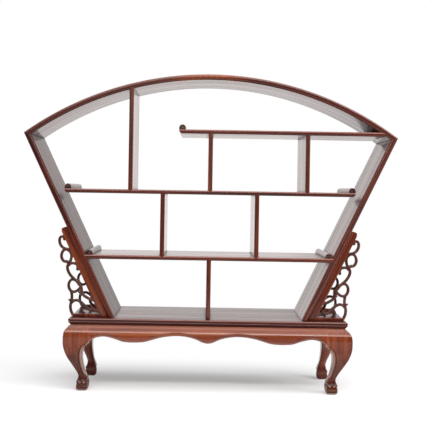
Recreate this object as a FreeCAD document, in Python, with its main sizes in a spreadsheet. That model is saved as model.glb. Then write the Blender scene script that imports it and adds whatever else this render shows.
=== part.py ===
"""Fan-shaped display shelf of lacquered hardwood on a low stand with cabriole legs.

The part stands on its feet. +X is to the right, +Y goes to the back and +Z is up. The origin is
on the floor under the middle of the stand. All sizes are in millimetres.
"""
import FreeCAD
import Part
import Sketcher

import math
import os
import re

# Driving sizes

SIZES = {
    # Fan-shaped frame
    "overall_width": 660.0,
    "overall_height": 560.0,
    "frame_depth": 130.0,
    "arch_radius": 560.0,
    "arch_thick": 10.0,
    "side_thick": 10.4,
    "side_foot_half_width": 176.5,
    "frame_nose": 4.2,
    # Shelves, their rolls and the dividers
    "shelf_thick": 7.4,
    "shelf_nose": 3.0,
    "upper_shelf_rise": 5.4,
    "middle_shelf_top": 354.9,
    "lower_shelf_top": 238.8,
    "upper_shelf_reach": 56.3,
    "middle_shelf_end_gap": 15.8,
    "shelf_end_rise": 4.6,
    "shelf_end_run": 3.6,
    "roll_width": 12.0,
    "roll_rise": 8.7,
    "roll_set_back": 1.2,
    "roll_end_gap": 0.3,
    "divider_thick": 7.8,
    "divider_nose": 3.0,
    "upper_left_divider_place": 140.7,
    "upper_right_divider_place": 171.4,
    "middle_divider_place": 83.2,
    # Slab
    "slab_width": 487.0,
    "slab_depth": 160.0,
    "slab_thick": 11.0,
    "slab_top_round": 2.6,
    "slab_undercut": 3.0,
    "slab_undercut_height": 6.0,
    # Stand
    "stand_width": 502.0,
    "stand_depth": 178.0,
    "stand_height": 118.0,
    "leg_stock": 44.0,
    "waist_inset": 12.5,
    "shoulder_drop": 12.5,
    "shoulder_inset": 1.0,
    "shoulder_bulge": 1.8,
    "apron_back": 18.0,
    "glue_block_length": 40.0,
    "glue_block_side": 12.0,
    # Pierced brackets
    "bracket_height": 158.0,
    "bracket_foot": 63.0,
    "bracket_thick": 7.0,
    "bracket_set_back": 6.0,
    "stile_width": 12.2,
    "stile_top_round": 7.0,
    "rail_height": 5.0,
    "rail_end_round": 2.2,
    "strand_width": 4.2,
    # Hidden joints
    "tenon_thick": 3.0,
    "tenon_reach": 3.5,
    "tenon_root": 1.5,
    "tenon_width": 78.0,
    "tenon_gap": 0.2,
    "leg_tenon_side": 12.0,
    "leg_tenon_reach": 6.0,
    "apron_tenon_thick": 5.0,
    "apron_tenon_height": 12.0,
    "apron_tenon_reach": 8.0,
    "spline_thick": 2.0,
    "spline_reach": 4.0,
    "spline_length": 110.0,
    "pin_diameter": 2.5,
    "pin_in_board": 6.0,
    "pin_in_stile": 8.0,
    "pin_gap": 0.1,
}

# Places that follow from the sizes

FORMULAS = {
    "slab_top": "stand_height + slab_thick",
    "arch_inner_radius": "arch_radius - arch_thick",
    "arch_middle_radius": "arch_radius - arch_thick / 2",
    "arch_centre": "overall_height - arch_radius",
    "corner_place": "arch_centre + sqrt(arch_radius ^ 2 - (overall_width / 2) ^ 2)",
    "slope": "(overall_width / 2 - side_foot_half_width) / (corner_place - slab_top)",
    "stretch": "sqrt(1 + slope ^ 2)",
    "side_across": "side_thick * stretch",
    # Half width of the fan at its centre height, for the inner faces of the side boards
    "inner_at_centre": "side_foot_half_width - side_across + slope * (arch_centre - slab_top)",
    "inner_corner_rise": "(sqrt(arch_inner_radius ^ 2 * stretch ^ 2 - inner_at_centre ^ 2)"
                         " - inner_at_centre * slope) / stretch ^ 2",
    "inner_corner_place": "arch_centre + inner_corner_rise",
    "inner_corner_half_width": "inner_at_centre + slope * inner_corner_rise",
    # The upper shelf lies just above the inner corners of the frame
    "upper_shelf_top": "inner_corner_place + upper_shelf_rise + shelf_thick",
    "middle_shelf_half_length": "side_foot_half_width - side_across"
                                " + slope * (middle_shelf_top - slab_top) - middle_shelf_end_gap",
    "leg_centre_across": "stand_width / 2 - leg_stock / 2",
    "leg_centre_back": "stand_depth / 2 - leg_stock / 2",
    "apron_half_length": "stand_width / 2 - leg_stock",
    "side_apron_half_length": "stand_depth / 2 - leg_stock",
    "mitre_length": "sqrt((overall_width / 2 - inner_corner_half_width) ^ 2"
                    " + (corner_place - inner_corner_place) ^ 2)",
    "mitre_across": "(overall_width / 2 - inner_corner_half_width) / mitre_length",
    "mitre_up": "(corner_place - inner_corner_place) / mitre_length",
    "mitre_middle_across": "(overall_width / 2 + inner_corner_half_width) / 2",
    "mitre_middle_up": "(corner_place + inner_corner_place) / 2",
}

# Shapes given as shares, chosen by eye

# Sawn outline of a leg: inset from the outer side as a share of the stock, and height as a
# share of the stand's height, from the shoulder down to the foot
LEG_OUTER_SHARES = [
    (0.004, 0.840), (0.000, 0.775), (0.010, 0.700), (0.058, 0.620), (0.143, 0.532), (0.275, 0.438),
    (0.411, 0.345), (0.523, 0.262), (0.561, 0.211), (0.520, 0.165), (0.470, 0.118), (0.455, 0.066),
    (0.480, 0.022), (0.540, 0.000),
]
# The inner side, from the foot up to the apron
LEG_INNER_SHARES = [
    (0.870, 0.000), (0.935, 0.030), (0.956, 0.085), (0.946, 0.145), (0.893, 0.210), (0.814, 0.290),
    (0.760, 0.381), (0.726, 0.480), (0.730, 0.560), (0.775, 0.635), (0.861, 0.695), (1.000, 0.748),
]
# Scalloped lower edge of an apron: distance from the middle as a share of its half length, and
# height as a share of the stand's height
LONG_APRON_SHARES = [
    (0.000, 0.757), (0.043, 0.772), (0.090, 0.810), (0.140, 0.838), (0.200, 0.857), (0.260, 0.863),
    (0.330, 0.854), (0.402, 0.831), (0.470, 0.797), (0.530, 0.768), (0.590, 0.758), (0.660, 0.758),
    (0.715, 0.768), (0.765, 0.797), (0.815, 0.822), (0.871, 0.839), (0.929, 0.824), (0.970, 0.790),
    (1.000, 0.748),
]
SHORT_APRON_SHARES = [
    (0.000, 0.762), (0.150, 0.785), (0.320, 0.830), (0.520, 0.856), (0.720, 0.850), (0.880, 0.815),
    (1.000, 0.748),
]
# Scrolling strands of a bracket: distance out from the side board as a share of the bracket's
# foot, and height above the slab as a share of the bracket's height
STRAND_SHARES = {
    "top_loop": [
        (0.235, 0.853), (0.214, 0.877), (0.256, 0.889), (0.324, 0.881), (0.389, 0.850),
        (0.420, 0.809), (0.409, 0.777), (0.355, 0.756), (0.251, 0.746), (0.160, 0.732),
    ],
    "upper_ring": [
        (0.450, 0.618), (0.505, 0.608), (0.554, 0.624), (0.550, 0.662), (0.492, 0.702),
        (0.418, 0.731), (0.328, 0.744), (0.259, 0.732), (0.235, 0.702), (0.264, 0.667),
        (0.336, 0.624), (0.429, 0.592), (0.490, 0.560),
    ],
    "upper_link": [(0.470, 0.562), (0.393, 0.585), (0.307, 0.592), (0.233, 0.586), (0.160, 0.570)],
    "great_loop": [
        (0.485, 0.570), (0.536, 0.528), (0.545, 0.485), (0.519, 0.444), (0.469, 0.412),
        (0.420, 0.378), (0.392, 0.340),
    ],
    "great_hook": [(0.205, 0.585), (0.222, 0.549), (0.254, 0.521)],
    "lower_ring": [
        (0.450, 0.404), (0.540, 0.410), (0.640, 0.385), (0.719, 0.340), (0.735, 0.298),
        (0.700, 0.275), (0.626, 0.273), (0.527, 0.289), (0.420, 0.318),
    ],
    "outer_strand": [
        (0.712, 0.285), (0.742, 0.243), (0.784, 0.204), (0.850, 0.161), (0.924, 0.118),
        (0.972, 0.068), (0.980, 0.016),
    ],
    "spine": [
        (0.399, 0.352), (0.385, 0.322), (0.412, 0.289), (0.438, 0.257), (0.413, 0.231),
        (0.353, 0.210), (0.280, 0.190), (0.160, 0.175),
    ],
    "low_loop": [
        (0.880, 0.142), (0.791, 0.167), (0.684, 0.179), (0.604, 0.165), (0.549, 0.136),
        (0.500, 0.100), (0.420, 0.072), (0.294, 0.064), (0.160, 0.066),
    ],
    "low_curl": [(0.560, 0.014), (0.640, 0.030), (0.672, 0.062), (0.640, 0.094), (0.565, 0.108)],
}
# Rounding of a roll's top as a share of half its width
ROLL_ROUND_SHARE = 0.96
STATIONS_PER_SPAN = 3
PIN_HEIGHT_SHARES = [0.16, 0.80]
GLUE_BLOCK_PLACE_SHARE = 0.45

TOLERANCE = 1e-4
LEFT = -1
RIGHT = 1
BOTTOM = -1
TOP = 1

doc = FreeCAD.newDocument("display_shelf")
sheet = doc.addObject("Spreadsheet::Sheet", "Sizes")
for row, (alias, number) in enumerate(SIZES.items(), 1):
    sheet.set("A%d" % row, alias)
    sheet.set("B%d" % row, str(number))
    sheet.setAlias("B%d" % row, alias)
doc.recompute()

X_AXIS = FreeCAD.Vector(1, 0, 0)
Y_AXIS = FreeCAD.Vector(0, 1, 0)
parts = {}


def formula(text):
    """Write a sum of sizes and places as an expression on the sheet's cells."""
    def replace(match):
        word = match.group(0)
        if word in SIZES:
            return "Sizes." + word
        if word in FORMULAS:
            return "(" + formula(FORMULAS[word]) + ")"
        return word
    return re.sub(r"[a-z_]+", replace, text)


def value(text):
    """Work out a sum of sizes and places as a plain number."""
    return float(sheet.evalExpression(formula(text)))


def signed(sign, text):
    """Put a sum on the left (or bottom) or on the right (or top) of the middle."""
    return ("-(%s)" if sign < 0 else "(%s)") % text


def fan_half_width(height, inward="0"):
    """Half width of the fan's outer faces at a height, less a distance measured level."""
    return "(side_foot_half_width + slope * ((%s) - slab_top) - (%s))" % (height, inward)


def keep(item, name):
    """Give a finished sub-part its name and add it to the list that is written."""
    item.Label = name
    parts[name] = item
    return item


# Ways of making pieces


def outline_sketch(body, role, corners, radii):
    """Draw a closed outline of pinned corners; a side with a radius is an arc."""
    sketch = body.newObject("Sketcher::SketchObject", body.Name + "_outline")
    plane = [item for item in body.Origin.OriginFeatures if item.Role == role][0]
    sketch.AttachmentSupport = [(plane, "")]
    sketch.MapMode = "FlatFace"
    points = [FreeCAD.Vector(value(across), value(up), 0) for across, up in corners]
    count = len(points)
    ends = []
    for index in range(count):
        start = points[index]
        end = points[(index + 1) % count]
        clockwise = False
        if index in radii:
            radius, centre = radii[index]
            middle = FreeCAD.Vector(value(centre[0]), value(centre[1]), 0)
            outward = ((start + end) / 2 - middle).normalize()
            bulge = middle + outward * value(radius)
            clockwise = (start - middle).cross(end - middle).z < 0
            first, last = (end, start) if clockwise else (start, end)
            sketch.addGeometry(Part.Arc(first, bulge, last))
        else:
            sketch.addGeometry(Part.LineSegment(start, end))
        ends.append((2, 1) if clockwise else (1, 2))
    for index in range(count):
        after = (index + 1) % count
        sketch.addConstraint(
            Sketcher.Constraint("Coincident", index, ends[index][1], after, ends[after][0]))
    for index, (across, up) in enumerate(corners):
        for kind, text, place in (("DistanceX", across, points[index].x),
                                  ("DistanceY", up, points[index].y)):
            name = "corner%d_%s" % (index, kind[-1].lower())
            number = sketch.addConstraint(
                Sketcher.Constraint(kind, -1, 1, index, ends[index][0], place))
            sketch.renameConstraint(number, name)
            sketch.setExpression("Constraints." + name, formula(text))
    for index, (radius, _) in radii.items():
        name = "radius%d" % index
        number = sketch.addConstraint(Sketcher.Constraint("Radius", index, value(radius)))
        sketch.renameConstraint(number, name)
        sketch.setExpression("Constraints." + name, formula(radius))
    return sketch


def padded_body(name, role, corners, length, radii=None):
    """Pad a closed outline the same way to both sides of its plane."""
    body = doc.addObject("PartDesign::Body", name + "_body")
    sketch = outline_sketch(body, role, corners, radii or {})
    pad = body.newObject("PartDesign::Pad", name + "_pad")
    pad.Profile = sketch
    pad.SideType = "Symmetric"
    pad.setExpression("Length", formula(length))
    doc.recompute()
    return body


def round_edges(body, radius, wanted):
    """Round every edge of a body that the test accepts."""
    base = body.Tip
    names = ["Edge%d" % number for number, edge in enumerate(base.Shape.Edges, 1) if wanted(edge)]
    fillet = body.newObject("PartDesign::Fillet", body.Name + "_round")
    fillet.Base = (base, names)
    fillet.setExpression("Radius", formula(radius))
    doc.recompute()
    return fillet


def long_edge_test(depth, least):
    """Accept edges longer than a length that lie in the front face or in the rear face."""
    def wanted(edge):
        level = edge.BoundBox.YLength < TOLERANCE
        on_face = abs(abs(edge.BoundBox.YMin) - value(depth) / 2) < TOLERANCE
        return level and on_face and edge.Length > value(least)
    return wanted


def box(name, low, length, depth, height):
    """Make a box from its lowest corner and its three sides."""
    item = doc.addObject("Part::Box", name)
    for side, text in (("Length", length), ("Width", depth), ("Height", height)):
        item.setExpression(side, formula(text))
    for axis, text in zip("xyz", low):
        item.setExpression("Placement.Base." + axis, formula(text))
    return item


def centred_box(name, centre, sides):
    """Make a box from its centre and its three sides."""
    low = ["(%s) - (%s) / 2" % pair for pair in zip(centre, sides)]
    return box(name, low, *sides)


def grown(sides, gap):
    """Add a clearance all round to three sides."""
    return ["(%s) + 2 * %s" % (side, gap) for side in sides]


def cut(name, base, *tools):
    """Take one or more tools from a base."""
    item = doc.addObject("Part::Cut", name)
    item.Base = base
    item.Tool = tools[0] if len(tools) == 1 else together(name + "_tools", tools)
    return item


def together(name, items):
    """Hold several separate solids as one compound."""
    item = doc.addObject("Part::Compound", name)
    item.Links = list(items)
    return item


def fuse(name, *items):
    """Join several solids to one."""
    item = doc.addObject("Part::MultiFuse", name)
    item.Shapes = list(items)
    item.Refine = True
    return item


def common(name, *items):
    """Keep what several solids share."""
    item = doc.addObject("Part::MultiCommon", name)
    item.Shapes = list(items)
    return item


def mirrored(name, source, normal):
    """Mirror a finished solid across a plane through the origin."""
    item = doc.addObject("Part::Mirroring", name)
    item.Source = source
    item.Normal = normal
    return item


def level_tenon(name, across, height, direction, gap=None, reach="tenon_reach"):
    """Stub tenon, or with a gap its mortise, that stands up or down from a level shoulder."""
    middle = "(%s) + %s" % (height, signed(direction, "(%s - tenon_root) / 2" % reach))
    sides = ["tenon_thick", "tenon_width", "%s + tenon_root" % reach]
    if gap:
        sides = grown(sides, gap)
    return centred_box(name, [across, "0", middle], sides)


# Fan-shaped frame

arch_blank = padded_body(
    "arch_board", "XZ_Plane",
    [("-overall_width / 2", "corner_place"), ("overall_width / 2", "corner_place"),
     ("inner_corner_half_width", "inner_corner_place"),
     ("-inner_corner_half_width", "inner_corner_place")],
    "frame_depth",
    radii={0: ("arch_radius", ("0", "arch_centre")), 2: ("arch_inner_radius", ("0", "arch_centre"))})
round_edges(arch_blank, "frame_nose", long_edge_test("frame_depth", "3 * arch_thick"))

side_blank = padded_body(
    "left_side_board", "XZ_Plane",
    [("-side_foot_half_width", "slab_top"), ("-side_foot_half_width + side_across", "slab_top"),
     ("-inner_corner_half_width", "inner_corner_place"),
     ("-overall_width / 2", "corner_place")],
    "frame_depth")
round_edges(side_blank, "frame_nose", long_edge_test("frame_depth", "3 * side_thick"))
side_mirror_blank = mirrored("side_mirror_blank", side_blank, X_AXIS)


# Loose tongues in the mitres, and their slots


def spline_body(name, gap):
    """Tongue across the left mitre at its middle, or with a gap its slot."""
    corners = []
    for along, through in ((-1, -1), (1, -1), (1, 1), (-1, 1)):
        half = signed(along, "spline_thick / 2 + %s" % gap)
        reach = signed(through, "spline_reach + %s" % gap)
        corners.append(("-(mitre_middle_across + %s * mitre_across - %s * mitre_up)" % (half, reach),
                        "mitre_middle_up + %s * mitre_up + %s * mitre_across" % (half, reach)))
    return padded_body(name, "XZ_Plane", corners, "spline_length + 2 * %s" % gap)


left_spline = spline_body("left_spline", "0")
left_spline_slot = spline_body("left_spline_slot", "tenon_gap")
right_spline = mirrored("right_spline", left_spline, X_AXIS)
right_spline_slot = mirrored("right_spline_slot", left_spline_slot, X_AXIS)
keep(together("splines", [left_spline, right_spline]), "corner_splines")

# Shelves

MIDDLE_SHELF_END = "middle_shelf_half_length"
middle_blank = padded_body(
    "middle_shelf", "XZ_Plane",
    [("-" + MIDDLE_SHELF_END, "middle_shelf_top"),
     ("-" + MIDDLE_SHELF_END, "middle_shelf_top - shelf_thick + shelf_end_rise"),
     ("-" + MIDDLE_SHELF_END + " + shelf_end_run", "middle_shelf_top - shelf_thick"),
     (MIDDLE_SHELF_END + " - shelf_end_run", "middle_shelf_top - shelf_thick"),
     (MIDDLE_SHELF_END, "middle_shelf_top - shelf_thick + shelf_end_rise"),
     (MIDDLE_SHELF_END, "middle_shelf_top")],
    "frame_depth")

# The lower shelf runs into the middle of the side boards' thickness and is scribed to them
LOWER_UNDERSIDE = "lower_shelf_top - shelf_thick"
lower_blank = padded_body(
    "lower_shelf", "XZ_Plane",
    [(signed(side, fan_half_width(height, "side_across / 2")), height)
     for side, height in ((LEFT, "lower_shelf_top"), (LEFT, LOWER_UNDERSIDE),
                          (RIGHT, LOWER_UNDERSIDE), (RIGHT, "lower_shelf_top"))],
    "frame_depth")

# The upper shelf runs into the middle of the arch's thickness and is scribed to it
UPPER_UNDERSIDE = "upper_shelf_top - shelf_thick"


def arch_place(radius, height):
    """Distance from the middle at which a circle of the arch passes a height."""
    return "sqrt(%s ^ 2 - (%s - arch_centre) ^ 2)" % (radius, height)


upper_blank = padded_body(
    "upper_shelf", "XZ_Plane",
    [("-upper_shelf_reach", "upper_shelf_top"),
     ("-upper_shelf_reach", UPPER_UNDERSIDE + " + shelf_end_rise"),
     ("-upper_shelf_reach + shelf_end_run", UPPER_UNDERSIDE),
     (arch_place("arch_middle_radius", "(%s)" % UPPER_UNDERSIDE), UPPER_UNDERSIDE),
     (arch_place("arch_middle_radius", "upper_shelf_top"), "upper_shelf_top")],
    "frame_depth")
for blank in (middle_blank, lower_blank, upper_blank):
    round_edges(blank, "shelf_nose", long_edge_test("frame_depth", "2 * shelf_thick"))

# Dividers: each runs to the middle of what it stands between and is scribed to both


def arch_height(radius, across):
    """Height of a circle of the arch at a distance from the middle."""
    return "(arch_centre + sqrt(%s ^ 2 - (%s) ^ 2))" % (radius, across)


DIVIDERS = {
    "upper_middle_divider": ("0", "middle_shelf_top", UPPER_UNDERSIDE, (middle_blank, upper_blank)),
    "upper_right_divider": ("upper_right_divider_place", "middle_shelf_top", UPPER_UNDERSIDE,
                            (middle_blank, upper_blank)),
    "middle_left_divider": ("-middle_divider_place", "lower_shelf_top",
                            "middle_shelf_top - shelf_thick", (lower_blank, middle_blank)),
    "middle_right_divider": ("middle_divider_place", "lower_shelf_top",
                             "middle_shelf_top - shelf_thick", (lower_blank, middle_blank)),
}
mortises = {"arch": [], "upper": [], "middle": [], "lower": [], "slab": [], "side": []}


def divider(name, across, low, high, low_end, high_ends, neighbours):
    """Board with rounded front and rear edges, scribed to its neighbours and tenoned to them."""
    corners = [("%s - divider_thick / 2" % across, low_end),
               ("%s + divider_thick / 2" % across, low_end),
               ("%s + divider_thick / 2" % across, high_ends[1]),
               ("%s - divider_thick / 2" % across, high_ends[0])]
    blank = padded_body(name, "XZ_Plane", corners, "frame_depth")
    round_edges(blank, "divider_nose", long_edge_test("frame_depth", "2 * divider_thick"))
    scribed = cut(name + "_scribed", blank, *neighbours) if neighbours else blank
    lower_tenon = level_tenon(name + "_lower_tenon", across, low, BOTTOM)
    upper_tenon = level_tenon(name + "_upper_tenon", across, high, TOP)
    return keep(fuse(name + "_tenoned", scribed, lower_tenon, upper_tenon), name)


for name, (across, low, high, neighbours) in DIVIDERS.items():
    low_end = low + " - shelf_thick / 2"
    high_end = high + " + shelf_thick / 2"
    divider(name, across, low, high, low_end, (high_end, high_end), neighbours)
    low_mortise = level_tenon(name + "_low_mortise", across, low, BOTTOM, "tenon_gap")
    high_mortise = level_tenon(name + "_high_mortise", across, high, TOP, "tenon_gap")
    upper_pair = name.startswith("upper")
    mortises["middle" if upper_pair else "lower"].append(low_mortise)
    mortises["upper" if upper_pair else "middle"].append(high_mortise)

# The lower divider stands on the slab
LOW_DIVIDER = "lower_divider"
divider(LOW_DIVIDER, "0", "slab_top", LOWER_UNDERSIDE, "slab_top",
        (LOWER_UNDERSIDE + " + shelf_thick / 2", LOWER_UNDERSIDE + " + shelf_thick / 2"),
        (lower_blank,))
mortises["slab"].append(
    level_tenon(LOW_DIVIDER + "_low_mortise", "0", "slab_top", BOTTOM, "tenon_gap"))
mortises["lower"].append(
    level_tenon(LOW_DIVIDER + "_high_mortise", "0", LOWER_UNDERSIDE, TOP, "tenon_gap"))

# The upper left divider reaches the arch
ARCH_DIVIDER = "upper_left_divider"
ARCH_DIVIDER_PLACE = "-upper_left_divider_place"
arch_ends = [arch_height("arch_middle_radius", ARCH_DIVIDER_PLACE + side + "divider_thick / 2")
             for side in (" - ", " + ")]
soffit = arch_height("arch_inner_radius", ARCH_DIVIDER_PLACE)
divider(ARCH_DIVIDER, ARCH_DIVIDER_PLACE, "middle_shelf_top", soffit,
        "middle_shelf_top - shelf_thick / 2", arch_ends, (middle_blank, arch_blank))
mortises["middle"].append(
    level_tenon(ARCH_DIVIDER + "_low_mortise", ARCH_DIVIDER_PLACE, "middle_shelf_top", BOTTOM,
                "tenon_gap"))
mortises["arch"].append(
    level_tenon(ARCH_DIVIDER + "_high_mortise", ARCH_DIVIDER_PLACE, soffit, TOP, "tenon_gap"))

# Tenons at the shelves' ends

UPPER_MIDDLE = "(upper_shelf_top - shelf_thick / 2)"
LOWER_MIDDLE = "(lower_shelf_top - shelf_thick / 2)"


def end_tenon(name, side, place, height, gap=None):
    """Stub tenon at a shelf's end, or with a gap its mortise, from a place near the middle."""
    middle = signed(side, "(%s) + (tenon_reach - tenon_root) / 2" % place)
    sides = ["tenon_reach + tenon_root", "tenon_width", "tenon_thick"]
    if gap:
        sides = grown(sides, gap)
    return centred_box(name, [middle, "0", height], sides)


lower_end = fan_half_width(LOWER_MIDDLE, "side_across")
upper_end = arch_place("arch_inner_radius", UPPER_MIDDLE)
lower_tenons = [end_tenon("lower_shelf_tenon_%d" % number, side, lower_end, LOWER_MIDDLE)
                for number, side in enumerate((LEFT, RIGHT), 1)]
lower_scribed = cut("lower_shelf_scribed", lower_blank, side_blank, side_mirror_blank)
lower_tenoned = fuse("lower_shelf_tenoned", lower_scribed, *lower_tenons)
upper_scribed = cut("upper_shelf_scribed", upper_blank, arch_blank)
upper_tenoned = fuse("upper_shelf_tenoned", upper_scribed,
                     end_tenon("upper_shelf_tenon", RIGHT, upper_end, UPPER_MIDDLE))
mortises["side"].append(
    end_tenon("lower_shelf_mortise", LEFT, lower_end, LOWER_MIDDLE, "tenon_gap"))
mortises["arch"].append(
    end_tenon("upper_shelf_mortise", RIGHT, upper_end, UPPER_MIDDLE, "tenon_gap"))

keep(cut("upper_shelf_mortised", upper_tenoned, *mortises["upper"]), "upper_shelf")
keep(cut("middle_shelf_mortised", middle_blank, *mortises["middle"]), "middle_shelf")
keep(cut("lower_shelf_mortised", lower_tenoned, *mortises["lower"]), "lower_shelf")
keep(cut("arch_board_mortised", arch_blank, *mortises["arch"], left_spline_slot,
         right_spline_slot), "arch_board")

# Rolls on the shelves' ends


def shelf_roll(name, outer, inner, height):
    """Bar with a round top that lies across a shelf's end."""
    corners = [(outer, height), (inner, height),
               (inner, height + " + roll_rise"), (outer, height + " + roll_rise")]
    body = padded_body(name, "XZ_Plane", corners, "frame_depth - 2 * roll_set_back")

    def is_top(edge):
        high = edge.BoundBox.ZMin > value(height + " + roll_rise / 2")
        return high and edge.BoundBox.XLength < TOLERANCE and edge.BoundBox.YLength > TOLERANCE
    round_edges(body, "roll_width / 2 * %s" % ROLL_ROUND_SHARE, is_top)
    return keep(body, name)


shelf_roll("upper_shelf_roll", "-upper_shelf_reach", "-upper_shelf_reach + roll_width",
           "upper_shelf_top")
middle_roll = shelf_roll("middle_shelf_left_roll", "-" + MIDDLE_SHELF_END,
                         "-" + MIDDLE_SHELF_END + " + roll_width", "middle_shelf_top")
LOWER_ROLL_PLACE = fan_half_width("lower_shelf_top", "side_across + roll_end_gap")
lower_roll = shelf_roll("lower_shelf_left_roll", "-" + LOWER_ROLL_PLACE,
                        "-" + LOWER_ROLL_PLACE + " + roll_width", "lower_shelf_top")
keep(mirrored("middle_roll_mirror", middle_roll, X_AXIS), "middle_shelf_right_roll")
keep(mirrored("lower_roll_mirror", lower_roll, X_AXIS), "lower_shelf_right_roll")

# Side boards

SIDE_FOOT_MIDDLE = "-(side_foot_half_width - side_across / 2)"
foot_tenon = level_tenon("side_foot_tenon", SIDE_FOOT_MIDDLE, "slab_top", BOTTOM)
foot_mortise = level_tenon("side_foot_mortise", SIDE_FOOT_MIDDLE, "slab_top", BOTTOM, "tenon_gap")
mortises["slab"] += [foot_mortise, mirrored("side_foot_mortise_mirror", foot_mortise, X_AXIS)]


def bracket_pin(name, share, facing, gap=None):
    """Bamboo pin square to the left side board, or with a gap its hole."""
    height = "(slab_top + bracket_height * %s)" % share
    extra = gap or "0"
    inner_end = "(pin_in_board + %s)" % extra
    item = doc.addObject("Part::Cylinder", name)
    item.setExpression("Radius", formula("pin_diameter / 2 + " + extra))
    item.setExpression("Height", formula("pin_in_board + pin_in_stile + 2 * " + extra))
    item.Placement = FreeCAD.Placement(FreeCAD.Vector(), FreeCAD.Rotation(Y_AXIS, 90))
    item.setExpression("Placement.Rotation.Angle", formula("270 deg + atan(slope)"))
    item.setExpression("Placement.Base.x", formula(
        "-%s + %s / stretch" % (fan_half_width(height), inner_end)))
    item.setExpression("Placement.Base.y", formula(
        signed(facing, "frame_depth / 2 - bracket_set_back - bracket_thick / 2")))
    item.setExpression("Placement.Base.z", formula(
        "%s - slope * %s / stretch" % (height, inner_end)))
    return item


left_pins = []
pin_holes = []
for number, share in enumerate(PIN_HEIGHT_SHARES, 1):
    for place, facing in (("front", -1), ("rear", 1)):
        left_pins.append(bracket_pin("%s_pin_%d" % (place, number), share, facing))
        pin_holes.append(
            bracket_pin("%s_pin_hole_%d" % (place, number), share, facing, "pin_gap"))
left_pin_set = together("left_pins", left_pins)
keep(together("pins", [left_pin_set, mirrored("right_pins", left_pin_set, X_AXIS)]),
     "bracket_pins")

side_tenoned = fuse("side_board_tenoned", side_blank, foot_tenon)
left_side = keep(cut("left_side_board_mortised", side_tenoned, left_spline_slot,
                     *mortises["side"], *pin_holes), "left_side_board")
keep(mirrored("right_side_board_mirror", left_side, X_AXIS), "right_side_board")

# Slab

slab_blank = padded_body(
    "base_slab", "XZ_Plane",
    [("-slab_width / 2", "stand_height"), ("slab_width / 2", "stand_height"),
     ("slab_width / 2", "slab_top"), ("-slab_width / 2", "slab_top")],
    "slab_depth")


def at_height(text):
    """Accept level edges at a height."""
    def wanted(edge):
        flat = edge.BoundBox.ZLength < TOLERANCE
        return flat and abs(edge.BoundBox.ZMin - value(text)) < TOLERANCE
    return wanted


slab_rounded = round_edges(slab_blank, "slab_top_round", at_height("slab_top"))
is_low = at_height("stand_height")
low_edges = ["Edge%d" % number for number, edge in enumerate(slab_rounded.Shape.Edges, 1)
             if is_low(edge)]
undercut = slab_blank.newObject("PartDesign::Chamfer", "slab_undercut")
undercut.Base = (slab_rounded, low_edges)
undercut.ChamferType = "Two distances"
undercut.setExpression("Size", formula("slab_undercut_height"))
undercut.setExpression("Size2", formula("slab_undercut"))
doc.recompute()

# Cabriole legs, sawn to the same outline from two sides


def waist_arc(outer, sign):
    """Convex shoulder from the waist under the slab out to the fold above the apron's face."""
    top = (outer - value("waist_inset"), value("stand_height"))
    fold = (outer - value("shoulder_inset"), value("stand_height - shoulder_drop"))
    slant = math.hypot(fold[0] - top[0], fold[1] - top[1])
    square = ((top[1] - fold[1]) / slant, (fold[0] - top[0]) / slant)
    bulge = value("shoulder_bulge")
    middle = ((top[0] + fold[0]) / 2 + square[0] * bulge, (top[1] + fold[1]) / 2 + square[1] * bulge)
    return [(sign * across, up) for across, up in (top, middle, fold)]


def smooth_line(points):
    """Smooth curve through the points."""
    curve = Part.BSplineCurve()
    curve.interpolate(points)
    return curve


def prism(name, edges, direction):
    """Solid of a closed flat outline carried along a direction."""
    item = doc.addObject("Part::Feature", name)
    item.Shape = Part.Face(Part.Wire(edges)).extrude(direction)
    return item


def leg_prism(name, half_width, half_depth, across_axis, along_axis):
    """Leg's sawn outline, carried through the stock from its outer corner."""
    outer = value(half_width)
    stock = value("leg_stock")
    height = value("stand_height")
    start = along_axis * -value(half_depth)

    def place(across, up):
        return start + across_axis * across + FreeCAD.Vector(0, 0, up)

    def from_shares(shares):
        return [place(-outer + inset * stock, up * height) for inset, up in shares]

    top, middle, fold = [place(*point) for point in waist_arc(outer, -1)]
    outer_points = [fold] + from_shares(LEG_OUTER_SHARES)
    inner_points = from_shares(LEG_INNER_SHARES)
    inner_top = place(-outer + stock, height)
    edges = [
        Part.Arc(top, middle, fold).toShape(),
        smooth_line(outer_points).toShape(),
        Part.LineSegment(outer_points[-1], inner_points[0]).toShape(),
        smooth_line(inner_points).toShape(),
        Part.LineSegment(inner_points[-1], inner_top).toShape(),
        Part.LineSegment(inner_top, top).toShape(),
    ]
    return prism(name, edges, along_axis * stock)


leg_front_view = leg_prism("leg_front_outline", "stand_width / 2", "stand_depth / 2", X_AXIS, Y_AXIS)
leg_side_view = leg_prism("leg_side_outline", "stand_depth / 2", "stand_width / 2", Y_AXIS, X_AXIS)
leg_blank = common("leg_blank", leg_front_view, leg_side_view)

LEG_TENON_SIDES = ["leg_tenon_side", "leg_tenon_side", "leg_tenon_reach + tenon_root"]
LEG_TENON_CENTRE = ["-(leg_centre_across)", "-(leg_centre_back)",
                    "stand_height + (leg_tenon_reach - tenon_root) / 2"]
leg_tenon = centred_box("leg_tenon", LEG_TENON_CENTRE, LEG_TENON_SIDES)
leg_mortise = centred_box("leg_mortise", LEG_TENON_CENTRE, grown(LEG_TENON_SIDES, "tenon_gap"))
leg_mortise_right = mirrored("leg_mortise_right", leg_mortise, X_AXIS)
mortises["slab"] += [leg_mortise, leg_mortise_right,
                     mirrored("leg_mortise_rear", leg_mortise, Y_AXIS),
                     mirrored("leg_mortise_rear_right", leg_mortise_right, Y_AXIS)]
keep(cut("base_slab_mortised", slab_blank, *mortises["slab"]), "base_slab")

# Aprons between the legs

APRON_TENON_LEVEL = "stand_height - shoulder_drop / 2 - apron_tenon_height / 2"


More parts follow.
